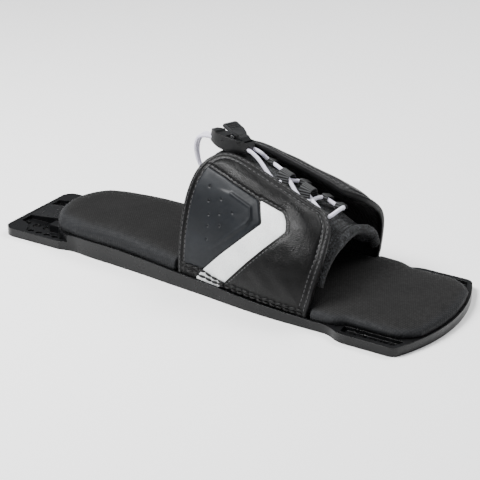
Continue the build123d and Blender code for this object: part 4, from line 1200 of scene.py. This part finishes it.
def cord_mesh(name, line, radius, slot, replaces, ring=18, step=0.35, body="binding"):
    """Round cord along a line, with UV round and along it, and rounded ends."""
    total = step_lengths(line).sum()
    count = int(total / step)
    p = resample(line, np.linspace(0, 1, count))
    run = directions(p)
    side = np.cross(run[0], (0, 0, 1))
    side /= np.linalg.norm(side)
    points, uvs = [], []
    for k in range(count):
        side = side - run[k] * (side @ run[k])
        side /= np.linalg.norm(side)
        other = np.cross(run[k], side)
        for j in range(ring + 1):
            a = 2 * math.pi * j / ring
            points.append(p[k] + (side * math.cos(a) + other * math.sin(a)) * radius)
            uvs.append((j / ring, total * k / (count - 1) / (2 * radius)))
    faces = grid_faces(count, ring + 1) + end_caps(count, ring, ring + 1)
    return add_piece(name, points, faces, slot, body=body, replaces=replaces, uvs=uvs), p


def make_spring():
    """The lever's return spring, drawn at rest; the real spring shortens as the lever is pressed."""
    share = np.linspace(0, 1, 240)
    turn = 2 * math.pi * SPRING_HEIGHT / SPRING_PITCH * share
    line = np.array([lock_point(SPRING_X + SPRING_R * math.cos(a), SPRING_R * math.sin(a),
                                SPRING_FOOT + SPRING_HEIGHT * t) for a, t in zip(turn, share)])
    coil, _ = cord_mesh("lock_spring_coil", line, SPRING_WIRE, "spring_steel", ["lock_spring"], ring=8, step=0.3,
                        body="lock")
    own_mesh(coil)


def make_laces():
    lace_line = spline_points("lace_route", lace_points())
    cord_mesh("lace_woven", lace_line, LACE_R, "lace_cord", ["lace"])
    tail_line = spline_points("tail_route", tail_points())
    tail, path = cord_mesh("lace_free_loop", tail_line, LACE_R, "lace_cord", ["lace_tail"])
    return lace_line


def band(line, across, width, thick):
    """Flat webbing along a line: points, faces and UV. across is the direction of its width at each point."""
    p = np.asarray(line, float)
    run = directions(p)
    across = np.broadcast_to(np.asarray(across, float), p.shape)
    across = unit(across - run * (across * run).sum(1, keepdims=True))
    up = np.cross(across, run)
    angles = [2 * math.pi * j / BAND_RING for j in range(BAND_RING)]
    profile = [(signed_power(math.cos(a), 0.25) * width / 2, signed_power(math.sin(a), 0.45) * thick / 2)
               for a in angles]
    along = np.concatenate([[0], np.cumsum(step_lengths(p))])
    points, uvs = [], []
    for k in range(len(p)):
        for w, h in profile:
            points.append(p[k] + across[k] * w + up[k] * h)
            uvs.append((w / width, along[k]))
    return points, grid_faces(len(p), BAND_RING, close_columns=True) + end_caps(len(p), BAND_RING), uvs


def joined(parts):
    """Several bands as one mesh."""
    points, faces, uvs = [], [], []
    for part_points, part_faces, part_uvs in parts:
        start = len(points)
        points += list(part_points)
        faces += [tuple(start + i for i in f) for f in part_faces]
        uvs += list(part_uvs)
    return points, faces, uvs


def lace_loop(x, side, lace_line):
    """Folded webbing: out from under the quarter, round the lace and back."""
    near = lace_line[np.argmin(np.abs(lace_line[:, 0] - x) + 3 * np.abs(lace_line[:, 1] - side * LOOP_Y))]
    centre = np.array([x, near[1], near[2]])
    radius = LACE_R + 0.55
    slope = 0.0 if x < CROWN_BEND_X else -CROWN_SLOPE
    line = []
    for y, depth in LOOP_IN:
        line.append((x, side * y, lace_height(x, y, depth)))
    for a in np.linspace(-100, 100, 15):
        t = math.radians(a)
        line.append((x, centre[1] - side * radius * math.cos(t), centre[2] + radius * math.sin(t)))
    for y, depth in LOOP_OUT:
        line.append((x, side * y, lace_height(x, y, depth)))
    return band(curve_through(line, 46), (1.0, 0.0, slope), LOOP_WIDTH, 0.75)


def keeper_band(x):
    """Ribbed strap across the lace, sewn down on the tongue at both ends."""
    top = float(strap_crown(x)) - 0.2
    tongue = float(TONGUE_ARCH.crown(np.array(x)))
    half = [(KEEPER_WIDTH / 2 + 2.6, tongue - 0.2), (KEEPER_WIDTH / 2 + 1.2, tongue + 0.9),
            (KEEPER_WIDTH / 2 - 0.2, top - 2.2), (KEEPER_WIDTH / 2 - 2.0, top - 0.4)]
    line = [(x, -y, z) for y, z in half] + [(x, 0, top)] + [(x, y, z) for y, z in half[::-1]]
    return band(curve_through(line, 50), (1.0, 0.0, -CROWN_SLOPE), KEEPER_LENGTH, 0.95)


def make_webbing(lace_line):
    for name, side, places in (("near", -1, LOOPS_NEAR), ("far", 1, LOOPS_FAR)):
        points, faces, uvs = joined([lace_loop(x, side, lace_line) for x in places])
        add_piece(f"webbing_loops_{name}", points, faces, "webbing", replaces=[f"lace_loops_{name}"], uvs=uvs)
    points, faces, uvs = joined([keeper_band(x) for x in KEEPER_X])
    add_piece("webbing_keepers", points, faces, "webbing", replaces=["lace_keepers"], uvs=uvs)


# ---------------------------------------------------------------- make everything
lace_line = make_laces()
make_spring()
for side_name, side_sign in (("near", -1), ("far", 1)):
    make_strap_side(side_name, side_sign)
tongue = make_tongue()
hem = make_hem()
tongue_stitches()
make_footbed()
make_webbing(lace_line)
